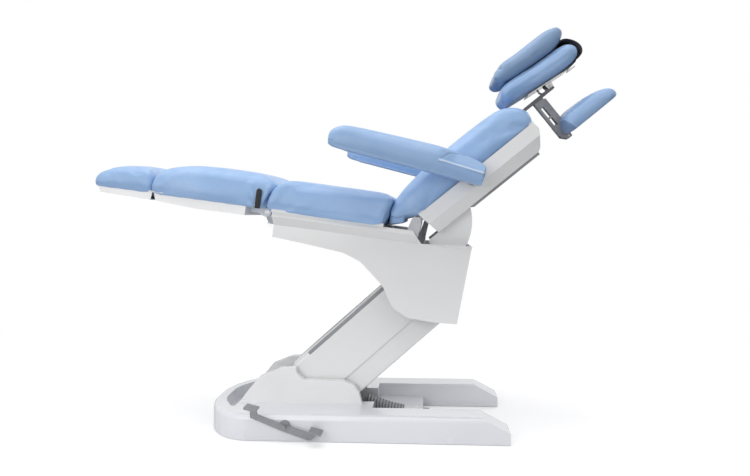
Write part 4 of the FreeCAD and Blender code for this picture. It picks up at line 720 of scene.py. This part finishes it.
def band(name, local, look, finish):
    # a flat strip bent along a path in the section's side view, a little wavy if it is cloth
    bm = bmesh.new()
    line = chain(look["path"], look["steps"])
    rows = []
    for i, p in enumerate(line):
        ahead = line[min(i + 1, len(line) - 1)] - line[max(i - 1, 0)]
        out = Vector((-ahead.y, ahead.x, 0)).normalized() * look["wave"]
        row = []
        for k in range(-10, 11):
            q = p + out * noise.noise(Vector((i * 0.12, k * 0.35, 0)))
            row.append(bm.verts.new(local.at(q.x, k * look["half"] / 10, q.y)))
        rows.append(row)
    for a, b in zip(rows, rows[1:]):
        for k in range(len(a) - 1):
            bm.faces.new((a[k], a[k + 1], b[k + 1], b[k]))
    piece = madeOf(bm, name, finish)
    thick = piece.modifiers.new("thick", "SOLIDIFY")
    thick.thickness = look["thick"] / 1000
    thick.offset = 0
    soft = piece.modifiers.new("soft", "BEVEL")
    soft.width = look["thick"] * 0.0003
    soft.segments = 2
    baked(piece)
    piece.data.shade_smooth()
    return piece


strap = band("pillowBand", headFrame, strapLook, "band")
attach(strap, "head")
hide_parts("pillow_strap")

# the bent chrome bracket between head pad and post
bracketLook = {
    "path": [(-38, 24), (-40, 4), (-34, -7), (-12, -9), (8, -9), (15, 0), (17, 24)],
    "half": 13, "thick": 4, "steps": 40, "wave": 0,
}
bracket = band("headBracket", headFrame, bracketLook, "chrome")
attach(bracket, "head")
print("strap made")

# the grey edge strip down the column's front
stripLook = {"from": 28, "to": 402, "low": 55, "high": 67, "half": 106.5}
columnFrame = Local(-0.150, 0.202, 41.5)
bm = bmesh.new()
corners = []
for u in (stripLook["from"], stripLook["to"]):
    corners.append([bm.verts.new(columnFrame.at(u, y, w)) for y, w in (
        (-stripLook["half"], stripLook["low"]), (stripLook["half"], stripLook["low"]),
        (stripLook["half"], stripLook["high"]), (-stripLook["half"], stripLook["high"]))])
for k in range(4):
    bm.faces.new((corners[0][k - 1], corners[0][k], corners[1][k], corners[1][k - 1]))
bm.faces.new(corners[0])
bm.faces.new(list(reversed(corners[1])))
bmesh.ops.recalc_face_normals(bm, faces=bm.faces)
strip = madeOf(bm, "columnStrip", "panel")
soft = strip.modifiers.new("soft", "BEVEL")
soft.width = 0.002
soft.segments = 3
baked(strip)
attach(strip, "upper_arm")
print("strip made")

# the folding bellows in the column's mouth: pleats, with painted shade along their outer edges
bellowsLook = {
    "low": [(22, 42.5), (100, 42.5), (182, 42.5)],
    "high": [(30, 72), (50, 88), (116, 62), (182, 46)],
    "half": 48, "pleats": 14, "deep": 5,
}
bm = bmesh.new()
steps = bellowsLook["pleats"] * 4 + 1
low, high = chain(bellowsLook["low"], steps), chain(bellowsLook["high"], steps)
rows, creaseShades = [], []
for i in range(steps):
    tuck = bellowsLook["deep"] * (0.5 - 0.5 * cos(2 * pi * i / 4))
    half = bellowsLook["half"] - tuck
    top = low[i].lerp(high[i], 1 - tuck / max(12, (high[i] - low[i]).length))
    ring = [(-half, low[i]), (-half, low[i].lerp(top, 0.5)), (-half + 3, top), (0, top), (half - 3, top),
            (half, low[i].lerp(top, 0.5)), (half, low[i])]
    rows.append([bm.verts.new(floorFrame.at(q.x, y, q.y)) for y, q in ring])
    # painted crease shade, full at each outer fold edge
    creaseShades += [exp(-(tuck / 1.6) ** 2)] * len(ring)
for a, b in zip(rows, rows[1:]):
    for k in range(len(a)):
        bm.faces.new((a[k - 1], a[k], b[k], b[k - 1]))
bm.faces.new(rows[0])
bm.faces.new(list(reversed(rows[-1])))
bmesh.ops.recalc_face_normals(bm, faces=bm.faces)
bellows = madeOf(bm, "foldingBellows", "bellows")
layer = bellows.data.attributes.new("creaseShade", "FLOAT", "POINT")
layer.data.foreach_set("value", creaseShades)
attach(bellows, "base")
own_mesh(bellows)
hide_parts("column_bellows")
print("bellows made")


# floor, backdrop and light
stageLook = {"floor": (0.86, 0.86, 0.87), "lift": 0.30, "sky": 0.62}
bm = bmesh.new()
bmesh.ops.create_grid(bm, x_segments=2, y_segments=2, size=30)
floorPlane = madeOf(bm, "studioFloor")
floorPlane.location = (0, 0, -0.0005)
f = Finish("studioFloor", Roughness=0.7, Specular_IOR_Level=0)
seen = f.node("ShaderNodeLightPath", {}, {}, "Is Camera Ray")
away = f.node("ShaderNodeVectorMath", {"operation": "LENGTH"}, {0: f.spot}, "Value")
away = f.ramp(away, 1.3, 3.2)
f.set(Base_Color=f.blend(away, stageLook["floor"], (0, 0, 0)), Emission_Color=(1, 1, 1),
      Emission_Strength=seen * (stageLook["lift"] + (1 - stageLook["lift"]) * away))
floorPlane.data.materials.append(f.material)

world = bpy.data.worlds.new("studio")
scene.world = world
world.use_nodes = True
tree = world.node_tree
tree.nodes.clear()
path = tree.nodes.new("ShaderNodeLightPath")
most = tree.nodes.new("ShaderNodeMath")
most.operation = "MAXIMUM"
tree.links.new(path.outputs["Is Camera Ray"], most.inputs[0])
tree.links.new(path.outputs["Is Glossy Ray"], most.inputs[1])
scaled = tree.nodes.new("ShaderNodeMapRange")
tree.links.new(most.outputs[0], scaled.inputs["Value"])
scaled.inputs["To Min"].default_value = stageLook["sky"]
scaled.inputs["To Max"].default_value = 1.0
sky = tree.nodes.new("ShaderNodeBackground")
sky.inputs["Color"].default_value = (1, 1, 1, 1)
tree.links.new(scaled.outputs[0], sky.inputs["Strength"])
end = tree.nodes.new("ShaderNodeOutputWorld")
tree.links.new(sky.outputs[0], end.inputs[0])

lamps = {
    "overhead": {"place": (-0.3, -0.4, 3.2), "aim": (0, 0, 0.7), "size": (3.2, 2.2), "power": 40},
    "front": {"place": (-1.4, -3.4, 1.5), "aim": (0.1, 0, 0.6), "size": (2.4, 2.0), "power": 34},
    "rear": {"place": (1.8, 2.6, 2.4), "aim": (0, 0, 0.8), "size": (2, 2), "power": 16},
}
for name, lamp in lamps.items():
    data = bpy.data.lights.new(name, "AREA")
    data.shape = "RECTANGLE"
    data.size, data.size_y = lamp["size"]
    data.energy = lamp["power"]
    light = bpy.data.objects.new(name, data)
    scene.collection.objects.link(light)
    light.location = lamp["place"]
    away = Vector(lamp["place"]) - Vector(lamp["aim"])
    light.rotation_euler = away.to_track_quat("Z", "Y").to_euler()
print("stage set")
